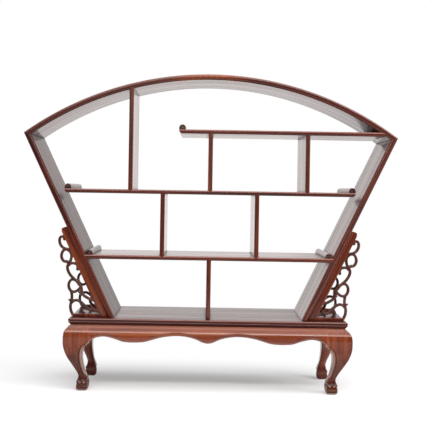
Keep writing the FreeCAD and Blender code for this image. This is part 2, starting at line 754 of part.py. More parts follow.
def apron_tenon(name, long_way, gap=None):
    """Tenon from an apron's left (or front) end into the front left leg, or its mortise."""
    end = "apron_half_length" if long_way else "side_apron_half_length"
    face = "stand_depth / 2" if long_way else "stand_width / 2"
    along = "-(%s + (apron_tenon_reach - tenon_root) / 2)" % end
    square = "-(%s - apron_back + apron_tenon_thick)" % face
    length = "apron_tenon_reach + tenon_root"
    centre = [along, square, APRON_TENON_LEVEL]
    sides = [length, "apron_tenon_thick", "apron_tenon_height"]
    if gap:
        sides = grown(sides, gap)
    if not long_way:
        centre = [square, along, APRON_TENON_LEVEL]
        sides = [sides[1], sides[0], sides[2]]
    return centred_box(name, centre, sides)


leg_tenoned = fuse("leg_tenoned", leg_blank, leg_tenon)
front_left_leg = keep(cut("front_left_leg_mortised", leg_tenoned,
                          apron_tenon("front_apron_mortise", True, "tenon_gap"),
                          apron_tenon("left_apron_mortise", False, "tenon_gap")),
                      "front_left_leg")
front_right_leg = keep(mirrored("front_right_mirror", front_left_leg, X_AXIS), "front_right_leg")
keep(mirrored("rear_left_mirror", front_left_leg, Y_AXIS), "rear_left_leg")
keep(mirrored("rear_right_mirror", front_right_leg, Y_AXIS), "rear_right_leg")


def apron(name, long_way, shares):
    """Moulded board with a scalloped lower edge, tenoned into the legs at both ends."""
    outer = value("stand_depth / 2" if long_way else "stand_width / 2")
    half = value("apron_half_length" if long_way else "side_apron_half_length")
    height = value("stand_height")
    along_axis = X_AXIS if long_way else Y_AXIS
    square_axis = Y_AXIS if long_way else X_AXIS
    low = min(up for _, up in shares) * height
    start = along_axis * -half

    def section_point(square, up):
        return start + square_axis * square + FreeCAD.Vector(0, 0, up)

    top, middle, fold = [section_point(*point) for point in waist_arc(outer, -1)]
    face_low = section_point(-outer, low)
    back_low = section_point(-outer + value("apron_back"), low)
    back_top = section_point(-outer + value("apron_back"), height)
    section = prism(name + "_section", [
        Part.Arc(top, middle, fold).toShape(),
        Part.LineSegment(fold, face_low).toShape(),
        Part.LineSegment(face_low, back_low).toShape(),
        Part.LineSegment(back_low, back_top).toShape(),
        Part.LineSegment(back_top, top).toShape(),
    ], along_axis * (2 * half))

    def edge_point(along, up):
        return along_axis * along + square_axis * -outer + FreeCAD.Vector(0, 0, up)

    right_half = [edge_point(share * half, up * height) for share, up in shares]
    left_half = [edge_point(-share * half, up * height) for share, up in reversed(shares)]
    scallop = prism(name + "_scallop", [
        smooth_line(left_half + right_half[1:]).toShape(),
        Part.LineSegment(right_half[-1], edge_point(half, height)).toShape(),
        Part.LineSegment(edge_point(half, height), edge_point(-half, height)).toShape(),
        Part.LineSegment(edge_point(-half, height), left_half[0]).toShape(),
    ], square_axis * value("apron_back"))
    board = common(name + "_board", section, scallop)
    tenon = apron_tenon(name + "_tenon", long_way)
    far_tenon = mirrored(name + "_far_tenon", tenon, along_axis)
    return keep(fuse(name + "_tenoned", board, tenon, far_tenon), name)


front_apron = apron("front_apron", True, LONG_APRON_SHARES)
left_apron = apron("left_apron", False, SHORT_APRON_SHARES)
keep(mirrored("rear_apron_mirror", front_apron, Y_AXIS), "rear_apron")
keep(mirrored("right_apron_mirror", left_apron, X_AXIS), "right_apron")

# Glue blocks under the slab, behind the long aprons

front_blocks = []
for number, side in enumerate((LEFT, RIGHT), 1):
    front_blocks.append(centred_box(
        "glue_block_%d" % number,
        [signed(side, "apron_half_length * %s" % GLUE_BLOCK_PLACE_SHARE),
         "-(stand_depth / 2 - apron_back - glue_block_side / 2)",
         "stand_height - glue_block_side / 2"],
        ["glue_block_length", "glue_block_side", "glue_block_side"]))
front_block_pair = together("front_blocks", front_blocks)
keep(together("blocks", [front_block_pair, mirrored("rear_blocks", front_block_pair, Y_AXIS)]),
     "glue_blocks")

# Pierced brackets beside the side boards


def bracket_point(out_share, up_share):
    """Point of the front left bracket in its front plane."""
    up = value("bracket_height") * up_share
    across = value(fan_half_width("slab_top")) + value("slope") * up
    across += value("bracket_foot") * out_share
    front = -value("frame_depth") / 2 + value("bracket_set_back")
    return FreeCAD.Vector(-across, front, value("slab_top") + up)


def strand_face(points, width):
    """Flat strip of even width along a smooth line, with round ends."""
    line = smooth_line(points)
    count = (len(points) - 1) * STATIONS_PER_SPAN
    sides = {LEFT: [], RIGHT: []}
    for step in range(count + 1):
        parameter = line.FirstParameter
        parameter += (line.LastParameter - line.FirstParameter) * step / count
        tangent = line.tangent(parameter)[0]
        across = FreeCAD.Vector(tangent.z, 0, -tangent.x) * (width / 2)
        for side in (LEFT, RIGHT):
            sides[side].append(line.value(parameter) + across * side)
    start_tip = points[0] - line.tangent(line.FirstParameter)[0] * (width / 2)
    end_tip = points[-1] + line.tangent(line.LastParameter)[0] * (width / 2)
    return Part.Face(Part.Wire([
        smooth_line(sides[LEFT]).toShape(),
        Part.Arc(sides[LEFT][-1], end_tip, sides[RIGHT][-1]).toShape(),
        smooth_line(sides[RIGHT][::-1]).toShape(),
        Part.Arc(sides[RIGHT][0], start_tip, sides[LEFT][0]).toShape(),
    ]))


def strand(name, shares):
    """One scrolling strand of the front left bracket."""
    item = doc.addObject("Part::Feature", name)
    points = [bracket_point(*share) for share in shares]
    thickness = Y_AXIS * value("bracket_thick")
    item.Shape = strand_face(points, value("strand_width")).extrude(thickness)
    return item


STILE_ACROSS = "stile_width * stretch"
STILE_TOP = "slab_top + bracket_height"
RAIL_TOP = "slab_top + rail_height"
FOOT_END = "(side_foot_half_width + bracket_foot)"
stile = padded_body(
    "bracket_stile", "XZ_Plane",
    [("-%s" % fan_half_width("slab_top"), "slab_top"),
     ("-%s" % fan_half_width(STILE_TOP), STILE_TOP),
     ("-(%s + %s)" % (fan_half_width(STILE_TOP), STILE_ACROSS), STILE_TOP),
     ("-(%s + %s)" % (fan_half_width(RAIL_TOP), STILE_ACROSS), RAIL_TOP),
     ("-%s" % FOOT_END, RAIL_TOP),
     ("-%s" % FOOT_END, "slab_top")],
    "bracket_thick")


def square_edge_at(across, height):
    """Accept the edge square to the front that passes through a point."""
    def wanted(edge):
        short = max(edge.BoundBox.XLength, edge.BoundBox.ZLength) < TOLERANCE
        near = math.hypot(edge.BoundBox.XMin - value(across), edge.BoundBox.ZMin - value(height))
        return short and near < TOLERANCE
    return wanted


round_edges(stile, "stile_top_round",
            square_edge_at("-(%s + %s)" % (fan_half_width(STILE_TOP), STILE_ACROSS), STILE_TOP))
round_edges(stile, "rail_end_round", square_edge_at("-" + FOOT_END, RAIL_TOP))
stile.setExpression("Placement.Base.y", formula(
    "-(frame_depth / 2 - bracket_set_back - bracket_thick / 2)"))
strands = [strand("strand_" + name, shares) for name, shares in STRAND_SHARES.items()]
bracket_plate = fuse("bracket_plate", stile, *strands)
front_left_bracket = keep(cut("front_left_bracket_bored", bracket_plate, *pin_holes),
                          "front_left_bracket")
front_right_bracket = keep(mirrored("front_right_bracket_mirror", front_left_bracket, X_AXIS),
                           "front_right_bracket")
keep(mirrored("rear_left_bracket_mirror", front_left_bracket, Y_AXIS), "rear_left_bracket")
keep(mirrored("rear_right_bracket_mirror", front_right_bracket, Y_AXIS), "rear_right_bracket")

# Check everything, then write one file for each sub-part

doc.recompute()
for item in doc.Objects:
    if "Invalid" in item.State or "Error" in item.State:
        raise RuntimeError("%s could not be built: %s" % (item.Name, item.State))
for name, item in parts.items():
    if item.Shape.isNull() or not item.Shape.isValid():
        raise RuntimeError("%s has no valid shape" % name)

os.makedirs("parts", exist_ok=True)
for name, item in parts.items():
    item.Shape.exportStep(os.path.join("parts", name + ".step"))
    print("%-26s solids %d  volume %.0f" % (name, len(item.Shape.Solids), item.Shape.Volume))
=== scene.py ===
"""Looks of a fan-shaped display shelf on a low stand: boards, legs, fretwork and their lacquer."""

import bisect
import logging
import math
from dataclasses import dataclass
from enum import Enum
from typing import Sequence

import bmesh
import bpy
from mathutils import Matrix, Vector


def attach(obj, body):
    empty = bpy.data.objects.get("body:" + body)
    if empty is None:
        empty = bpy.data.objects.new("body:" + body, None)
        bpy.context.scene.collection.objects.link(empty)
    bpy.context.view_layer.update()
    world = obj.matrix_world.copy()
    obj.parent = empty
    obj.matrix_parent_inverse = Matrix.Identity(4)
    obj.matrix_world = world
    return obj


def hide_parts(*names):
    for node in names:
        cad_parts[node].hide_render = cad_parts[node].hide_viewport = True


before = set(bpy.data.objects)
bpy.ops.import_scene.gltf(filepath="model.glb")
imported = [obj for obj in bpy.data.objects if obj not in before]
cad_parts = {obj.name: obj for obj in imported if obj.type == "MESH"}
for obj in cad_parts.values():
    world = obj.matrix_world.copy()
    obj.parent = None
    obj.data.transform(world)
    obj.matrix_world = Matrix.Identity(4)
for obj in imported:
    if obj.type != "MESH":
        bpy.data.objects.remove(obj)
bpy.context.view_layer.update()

MM = 0.001
BODY = "root"
log = logging.getLogger("display_shelf")

BMesh = bmesh.types.BMesh
Material = bpy.types.Material
Socket = bpy.types.NodeSocket
Point = tuple[float, float]
Triple = tuple[float, float, float]
Stops = Sequence[tuple[float, Sequence[float]]]

WHITE = (1.0, 1.0, 1.0, 1.0)
BLACK = (0.0, 0.0, 0.0, 1.0)
ENDS = (("front", False), ("rear", True))
SIDES = (("left", False), ("right", True))
QUARTER_TURN = math.pi / 2
# Angles round a soft corner, fine and coarse
ROUNDING = [QUARTER_TURN * step / 8 for step in range(9)]
CORNER = ROUNDING[::2]
# Width of the softened edges of shelves and boards
ARRIS = 0.25 * MM
# Share of a face's normal above which the face looks that way
FACING = 0.99


# Shapes in thousandths of a length and a height, the same as in the part's source

LEG_OUTER = [
    (4, 840), (0, 775), (10, 700), (58, 620), (143, 532), (275, 438), (411, 345), (523, 262),
    (561, 211), (520, 165), (470, 118), (455, 66), (480, 22), (540, 0),
]
LEG_INNER = [
    (870, 0), (935, 30), (956, 85), (946, 145), (893, 210), (814, 290), (760, 381), (726, 480),
    (730, 560), (775, 635), (861, 695), (1000, 748),
]
LONG_APRON = [
    (0, 757), (43, 772), (90, 810), (140, 838), (200, 857), (260, 863), (330, 854), (402, 831),
    (470, 797), (530, 768), (590, 758), (660, 758), (715, 768), (765, 797), (815, 822),
    (871, 839), (929, 824), (970, 790), (1000, 748),
]
SHORT_APRON = [
    (0, 762), (150, 785), (320, 830), (520, 856), (720, 850), (880, 815), (1000, 748),
]
# Strands of the fretwork, from its top loop down to its low curl
STRANDS = [
    [(235, 853), (214, 877), (256, 889), (324, 881), (389, 850), (420, 809), (409, 777),
     (355, 756), (251, 746), (160, 732)],
    [(450, 618), (505, 608), (554, 624), (550, 662), (492, 702), (418, 731), (328, 744),
     (259, 732), (235, 702), (264, 667), (336, 624), (429, 592), (490, 560)],
    [(470, 562), (393, 585), (307, 592), (233, 586), (160, 570)],
    [(485, 570), (536, 528), (545, 485), (519, 444), (469, 412), (420, 378), (392, 340)],
    [(205, 585), (222, 549), (254, 521)],
    [(450, 404), (540, 410), (640, 385), (719, 340), (735, 298), (700, 275), (626, 273),
     (527, 289), (420, 318)],
    [(712, 285), (742, 243), (784, 204), (850, 161), (924, 118), (972, 68), (980, 16)],
    [(399, 352), (385, 322), (412, 289), (438, 257), (413, 231), (353, 210), (280, 190),
     (160, 175)],
    [(880, 142), (791, 167), (684, 179), (604, 165), (549, 136), (500, 100), (420, 72), (294, 64),
     (160, 66)],
    [(560, 14), (640, 30), (672, 62), (640, 94), (565, 108)],
]
# Rounded buds of the fretwork: place in thousandths and radius in millimetres
BUDS = [
    (237, 861, 3.0), (452, 606, 3.0), (252, 527, 3.1), (403, 362, 3.5), (420, 305, 4.2),
    (440, 262, 3.5), (610, 103, 2.9), (560, 16, 3.2), (830, 160, 3.2),
]
# Leaf tips of the fretwork: from their foot to their point
LEAF_TIPS = [
    [(415, 352), (385, 385), (357, 414)],
    [(835, 166), (868, 176), (900, 187)],
    [(300, 70), (345, 100), (350, 135)],
]


def clamped(share: float) -> float:
    """Keep a share between 0 and 1."""
    return min(max(share, 0.0), 1.0)


def smooth_line(points: Sequence[Point], spans: int) -> list[Point]:
    """Follow a smooth line through points in a plane.

    Args:
        points: The points that the line passes through.
        spans: How many short runs lie between two of them.

    Returns:
        The line's points, the first and the last one included.
    """
    ends = [tuple(2 * a - b for a, b in zip(points[first], points[second]))
            for first, second in ((0, 1), (-1, -2))]
    row = [ends[0], *points, ends[1]]
    line = []
    for four in zip(row, row[1:], row[2:], row[3:]):
        for step in range(spans):
            t = step / spans
            line.append(tuple(
                0.5 * (2 * s + (e - b) * t + (2 * b - 5 * s + 4 * e - a) * t ** 2
                       + (3 * s - b - 3 * e + a) * t ** 3) for b, s, e, a in zip(*four)))
    line.append(tuple(points[-1]))
    return line


class Outline:
    """A smooth outline that gives one measure for another."""

    def __init__(self, points: Sequence[Point], spans: int = 12) -> None:
        """Smooth a line through pairs of a measure and what it gives, and sort it."""
        self.places, self.values = zip(*sorted(smooth_line(points, spans)))

    def at(self, place: float) -> float:
        """Read the outline.

        Args:
            place: The first measure.

        Returns:
            The second measure there.
        """
        index = min(max(bisect.bisect(self.places, place), 1), len(self.places) - 1)
        low, high = self.places[index - 1], self.places[index]
        share = 0.0 if high == low else clamped((place - low) / (high - low))
        return self.values[index - 1] * (1 - share) + self.values[index] * share


def loft(rings: Sequence[Sequence[Vector]],
         marks: Sequence[Sequence[float]] | None = None) -> BMesh:
    """Carry a closed ring through others that have as many points.

    Args:
        rings: The rings, in order.
        marks: For each point, 1 where grime and painted shade lie in a hollow and -1 where rubbing
            and a painted highlight lie on an edge.

    Returns:
        A closed mesh with flat ends.
    """
    bm = bmesh.new()
    order = bm.verts.layers.int.new("order")
    carved = bm.verts.layers.float.new("carved")
    circle = bmesh.ops.create_circle(bm, cap_ends=True, radius=1.0, segments=len(rings[0]))
    for index, vert in enumerate(circle["verts"]):
        vert[order] = index
    face = bm.faces[:][0]
    for row, ring in enumerate(rings):
        if row:
            grown = bmesh.ops.extrude_face_region(bm, geom=[face, *face.edges, *face.verts])
            face = next(item for item in grown["geom"] if isinstance(item, bmesh.types.BMFace))
        for vert in face.verts:
            vert.co = ring[vert[order]]
            vert[carved] = marks[row][vert[order]] if marks else 0.0
    bmesh.ops.recalc_face_normals(bm, faces=bm.faces)
    bm.normal_update()
    return bm


def placed(bm: BMesh, matrix: Matrix) -> BMesh:
    """Put a mesh in its place.

    Args:
        bm: The mesh.
        matrix: The turn and shift to its place.

    Returns:
        The same mesh.
    """
    bmesh.ops.transform(bm, matrix=matrix, verts=bm.verts)
    bmesh.ops.recalc_face_normals(bm, faces=bm.faces)
    return bm


def flipped(bm: BMesh, across: bool, back: bool) -> BMesh:
    """Copy a mesh of the front left quarter to the right, to the rear or to both."""
    signs = (-1.0 if across else 1.0, -1.0 if back else 1.0, 1.0, 1.0)
    return placed(bm.copy(), Matrix.Diagonal(signs))


def rounded_blank(thick: float, depth: float, nose: tuple[float, int]) -> BMesh:
    """Make the section of a board with rounded front and rear edges, flat in the XY plane.

    Args:
        thick: The board's thickness, along X.
        depth: The board's depth, along Y.
        nose: Radius of its rounded edges and the faces around each.

    Returns:
        A mesh of one face.
    """
    bm = bmesh.new()
    bmesh.ops.create_grid(bm, x_segments=1, y_segments=1, size=0.5)
    bmesh.ops.scale(bm, vec=(thick * MM, depth * MM, 1.0), verts=bm.verts)
    bmesh.ops.bevel(bm, geom=bm.verts[:], offset=nose[0] * MM, offset_type="OFFSET",
                    segments=nose[1], profile=0.5, affect="VERTICES", material=-1)
    return bm


def board(thick: float, depth: float, length: float, nose: tuple[float, int],
          matrix: Matrix) -> BMesh:
    """Draw a rounded section out to a board and put it in its place.

    Args:
        thick: The board's thickness, along X before it is placed.
        depth: Its depth, along Y.
        length: Its length, along Z to both sides of the origin.
        nose: Radius of its rounded edges and the faces around each.
        matrix: The turn and shift to its place.

    Returns:
        A closed mesh.
    """
    bm = rounded_blank(thick, depth, nose)
    length *= MM
    grown = bmesh.ops.extrude_face_region(bm, geom=bm.faces[:])
    far = [item for item in grown["geom"] if isinstance(item, bmesh.types.BMVert)]
    bmesh.ops.translate(bm, vec=(0.0, 0.0, length), verts=far)
    bmesh.ops.translate(bm, vec=(0.0, 0.0, -length / 2), verts=bm.verts)
    return placed(bm, matrix)


def sliced(bm: BMesh, point: Vector, outward: Vector) -> None:
    """Saw a closed mesh off along a plane and close the cut.

    Args:
        bm: The mesh.
        point: A point on the plane.
        outward: The way in which the waste lies.
    """
    cut = bmesh.ops.bisect_plane(bm, geom=bm.verts[:] + bm.edges[:] + bm.faces[:], dist=1e-7,
                                 plane_co=point, plane_no=outward, clear_outer=True)
    edges = [item for item in cut["geom_cut"] if isinstance(item, bmesh.types.BMEdge)]
    bmesh.ops.contextual_create(bm, geom=edges)
    bmesh.ops.recalc_face_normals(bm, faces=bm.faces)


def linked(name: str, data: bpy.types.ID) -> bpy.types.Object:
    """Put a mesh, lamp or camera into the scene.

    Args:
        name: The object's name.
        data: What it shows.

    Returns:
        The object.
    """
    item = bpy.data.objects.new(name, data)
    bpy.context.scene.collection.objects.link(item)
    return item


def solid(name: str, bm: BMesh) -> bpy.types.Object:
    """Put a mesh into the scene.

    Args:
        name: The object's name.
        bm: Its mesh, which is used up.

    Returns:
        The object.
    """
    mesh = bpy.data.meshes.new(name)
    bm.to_mesh(mesh)
    bm.free()
    return linked(name, mesh)


def dress(bm: BMesh, node: str, *materials: Material, arris: float = 0.0,
          sharp: float = 40.0) -> None:
    """Make the finished piece that stands for a CAD node.

    Args:
        bm: Its mesh, in metres and in place, which is used up.
        node: The CAD node.
        materials: Its finishes, in the order of its faces' numbers.
        arris: Width of the softened edges, or 0 for none.
        sharp: Angle in degrees above which an edge stays sharp.
    """
    loose = sum(not edge.is_manifold for edge in bm.edges)
    item = solid(node + "_dressed", bm)
    mesh = item.data
    for material in materials:
        mesh.materials.append(material)
    mesh.polygons.foreach_set("use_smooth", [True] * len(mesh.polygons))
    mesh.set_sharp_from_angle(angle=math.radians(sharp))
    if arris:
        bevel = item.modifiers.new("arris", "BEVEL")
        bevel.width = arris
        bevel.segments = 3
        bevel.limit_method = "ANGLE"
        bevel.angle_limit = math.radians(sharp)
    item.modifiers.new("weighted", "WEIGHTED_NORMAL").keep_sharp = True
    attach(item, BODY)
    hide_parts(node)
    log.info("%s has %d faces and %d open edges", item.name, len(mesh.polygons), loose)


class NodeSheet:
    """Short ways to lay out the nodes of a material or a world."""

    def __init__(self, holder: Material | bpy.types.World) -> None:
        """Start with an empty sheet.

        Args:
            holder: The material or world.
        """
        holder.use_nodes = True
        self.tree = holder.node_tree
        self.tree.nodes.clear()

    def add(self, kind: str, inputs: dict | None = None, **settings: object) -> bpy.types.Node:
        """Add a node.

        Args:
            kind: The node's type, without its ShaderNode start.
            inputs: Numbers, colours or other nodes' sockets for its inputs, by name or place.
            settings: Its other settings.

        Returns:
            The node.
        """
        node = self.tree.nodes.new("ShaderNode" + kind)
        for key, setting in settings.items():
            setattr(node, key, setting)
        for key, item in (inputs or {}).items():
            if isinstance(item, Socket):
                self.tree.links.new(item, node.inputs[key])
            else:
                node.inputs[key].default_value = item
        return node

    def math(self, operation: str, *items: object) -> Socket:
        """Work out a sum of sockets and numbers."""
        return self.add("Math", dict(enumerate(items)), operation=operation).outputs[0]

    def place(self) -> Socket:
        """Give the place on the piece, in metres."""
        return self.add("TexCoord").outputs["Object"]

    def parts(self, kind: str = "Object") -> Sequence[Socket]:
        """Part a place, or another kind of coordinates, into X, Y and Z."""
        return self.add("SeparateXYZ", {0: self.add("TexCoord").outputs[kind]}).outputs

    def bump(self, height: Socket, strength: float, depth: float) -> Socket:
        """Turn a height into a relief's normal."""
        return self.add("Bump", {"Height": height, "Strength": strength,
                                 "Distance": depth}).outputs[0]

    def fade(self, value: object, start: float, end: float, low: object = 0.0,
             high: object = 1.0, way: str = "SMOOTHSTEP") -> Socket:
        """Pass from one value to another while a third one changes.

        Args:
            value: The value that changes.
            start: Where the fade starts.
            end: Where it ends.
            low: What is given before it.
            high: What is given after it.
            way: Way of fading.

        Returns:
            The faded value's socket.
        """
        names = ("Value", "From Min", "From Max", "To Min", "To Max")
        return self.add("MapRange", dict(zip(names, (value, start, end, low, high))),
                        interpolation_type=way).outputs[0]

    def ramp(self, factor: Socket, stops: Stops) -> Socket:
        """Spread colours over a factor.

        Args:
            factor: A socket from 0 to 1.
            stops: Places and their colours.

        Returns:
            The colour's socket.
        """
        node = self.add("ValToRGB", {0: factor})
        elements = node.color_ramp.elements
        while len(elements) < len(stops):
            elements.new(0.5)
        for element, (place, colour) in zip(elements, stops):
            element.position = place
            element.color = (*colour[:3], 1.0)
        return node.outputs[0]

    def mixed(self, factor: object, first: object, second: object,
              blend: str = "MULTIPLY") -> Socket:
        """Blend a second colour over a first one by a factor."""
        return self.add("Mix", {"Factor": factor, 6: first, 7: second}, data_type="RGBA",
                        blend_type=blend).outputs[2]


class Grain(Enum):
    """Way of the grain: turns about Y and Z, and the board's lean that the first one takes in."""

    ALONG_WIDTH = (0.0, 0.0, 0)
    ALONG_DEPTH = (0.0, QUARTER_TURN, 0)
    UPRIGHT = (QUARTER_TURN, 0.0, 0)
    UP_LEFT_BOARD = (QUARTER_TURN, 0.0, 1)
    UP_RIGHT_BOARD = (QUARTER_TURN, 0.0, -1)
    ROUND_ARCH = ()


# Dark, middle and light tone of each kind of wood
FRAME_TONES = ((0.022, 0.005, 0.004), (0.080, 0.015, 0.009), (0.170, 0.040, 0.018))
UPPER_TONES = ((0.030, 0.008, 0.006), (0.108, 0.024, 0.013), (0.230, 0.062, 0.025))
LEFT_TONES = ((0.012, 0.002, 0.002), (0.044, 0.008, 0.006), (0.120, 0.026, 0.014))
RIGHT_TONES = ((0.026, 0.007, 0.006), (0.098, 0.024, 0.017), (0.230, 0.065, 0.038))
ROLL_TONES = ((0.022, 0.010, 0.009), (0.064, 0.032, 0.027), (0.135, 0.070, 0.057))
SLAB_TONES = ((0.016, 0.004, 0.004), (0.050, 0.010, 0.009), (0.110, 0.026, 0.020))
STAND_TONES = ((0.108, 0.019, 0.008), (0.205, 0.043, 0.016), (0.305, 0.082, 0.027))
# The rear legs' tones: the front legs' made darker as painted shade
SHADED_REAR_STAND_TONES = ((0.110, 0.018, 0.011), (0.175, 0.035, 0.021), (0.250, 0.062, 0.032))
STILE_TONES = ((0.024, 0.005, 0.004), (0.108, 0.019, 0.009), (0.280, 0.066, 0.023))
FRET_TONES = ((0.020, 0.006, 0.005), (0.062, 0.016, 0.012), (0.130, 0.044, 0.032))
# The rear brackets' strands: the front ones' made darker as painted shade
SHADED_REAR_FRET_TONES = ((0.008, 0.003, 0.002), (0.026, 0.008, 0.006), (0.060, 0.021, 0.015))

# Colours that multiply the wood's own
# Grime with painted shade in hollows
DIRT_AND_SHADE = (0.22, 0.15, 0.15, 1.0)
# Painted shade towards the feet
FOOT_SHADE = (0.20, 0.12, 0.16, 1.0)
# The arch's lighter stretch: partly its figure, partly a painted highlight
FIGURE_AND_HIGHLIGHT_STRETCH = (2.6, 2.9, 1.5, 1.0)
# The arch's darker stretch: painted shade
PAINTED_SHADE_STRETCH = (0.60, 0.56, 0.62, 1.0)
WARM_STRETCH = (1.9, 1.6, 0.9, 1.0)
# Colours of rubbing with painted highlight on carvings and on arrises, and how much the first one
# covers it
LIT_CARVING_RUBBING = (0.42, 0.25, 0.20, 1.0)
ARRIS_HIGHLIGHT_AND_RUBBING = (0.36, 0.17, 0.14, 1.0)
CARVING_RUBBING_AND_HIGHLIGHT = 0.8
# Ramps of colours that multiply the wood's own: pores, grime with painted shade in hollows, and
# painted shade in creases with rubbing and painted highlight on ridges
PORE_RAMP = ((0.58, WHITE), (0.70, (0.50, 0.45, 0.42)))
HOLLOW_GRIME_AND_SHADE_RAMP = ((0.25, (0.30, 0.24, 0.22)), (0.80, WHITE))
# By pointiness: painted shade in creases, rubbing and painted highlight on ridges
CREASE_SHADE_RIDGE_LIGHT_RAMP = ((0.45, (0.25, 0.20, 0.20)), (0.50, (0.95, 0.95, 0.95)), (0.56, (1.30, 1.38, 1.45)))
# The arris between a face and the front edge, by how far its normal points to the front or up,
# where a painted highlight with rubbing lies
ARRIS_RAMP = ((0.10, BLACK), (0.40, WHITE), (0.80, WHITE), (0.97, BLACK))
ARRIS_UPWARD = (0.08, 0.35)
# Places of the three tones, and how much the fine fibres and the pores show in them
TONE_PLACES = (0.37, 0.50, 0.65)
FINE_SHARE = 0.22
PORE_SHARE = 0.4
ROUGHNESS_SPREAD = 0.12
# Coat where the film is thin, what thicker streaks add to it, and how it fades into a joint
COAT_LOW = 0.34
COAT_STREAKS = 1.3
JOINT_FADE = (0.45, 0.90, 0.45, 1.0)
# Where the fan's front edge starts and is full, along Y
FRONT_EDGE = (-0.050, -0.062)
# Heights between which painted shade darkens a leg towards its foot
FOOT_HEIGHTS = (0.105, 0.025)
# The arch's lighter stretch, partly figure and partly painted highlight, fades this far to
# both sides of its end, and a side board's warmer one over this height
PATCH_FADE = 0.03
WARM_FADE = 0.04
# Where the arch's darker stretch of painted shade is full, in half lengths of the lighter one
SHADE_REACH = 2.5
ARCH_GRAIN_RADIUS = 0.555
# Strength and depth of the reliefs of the grain, the coat's film and bare wood
GRAIN_RELIEF = (0.08, 0.0003)
FILM_RELIEF = (0.35, 0.0004)
BARE_RELIEF = (0.2, 0.0003)
# How far the figure moves from one board's number to the next
BOARD_SHIFT = (0.37, 1.91, 0.83)


class Fibres(Enum):
    """Noise drawn out along the grain: changes in a metre along and across, octaves and bend."""

    FIGURE = (2.2, 42.0, 4.0, 0.8)
    STREAKS = (4.0, 190.0, 3.0, 0.3)
    FINE = (18.0, 620.0, 2.0, 0.0)
    PORES = (90.0, 1500.0, 2.0, 0.0)
    FILM = (2.0, 80.0, 2.0, 0.0)
    COAT = (3.0, 110.0, 3.0, 0.2)


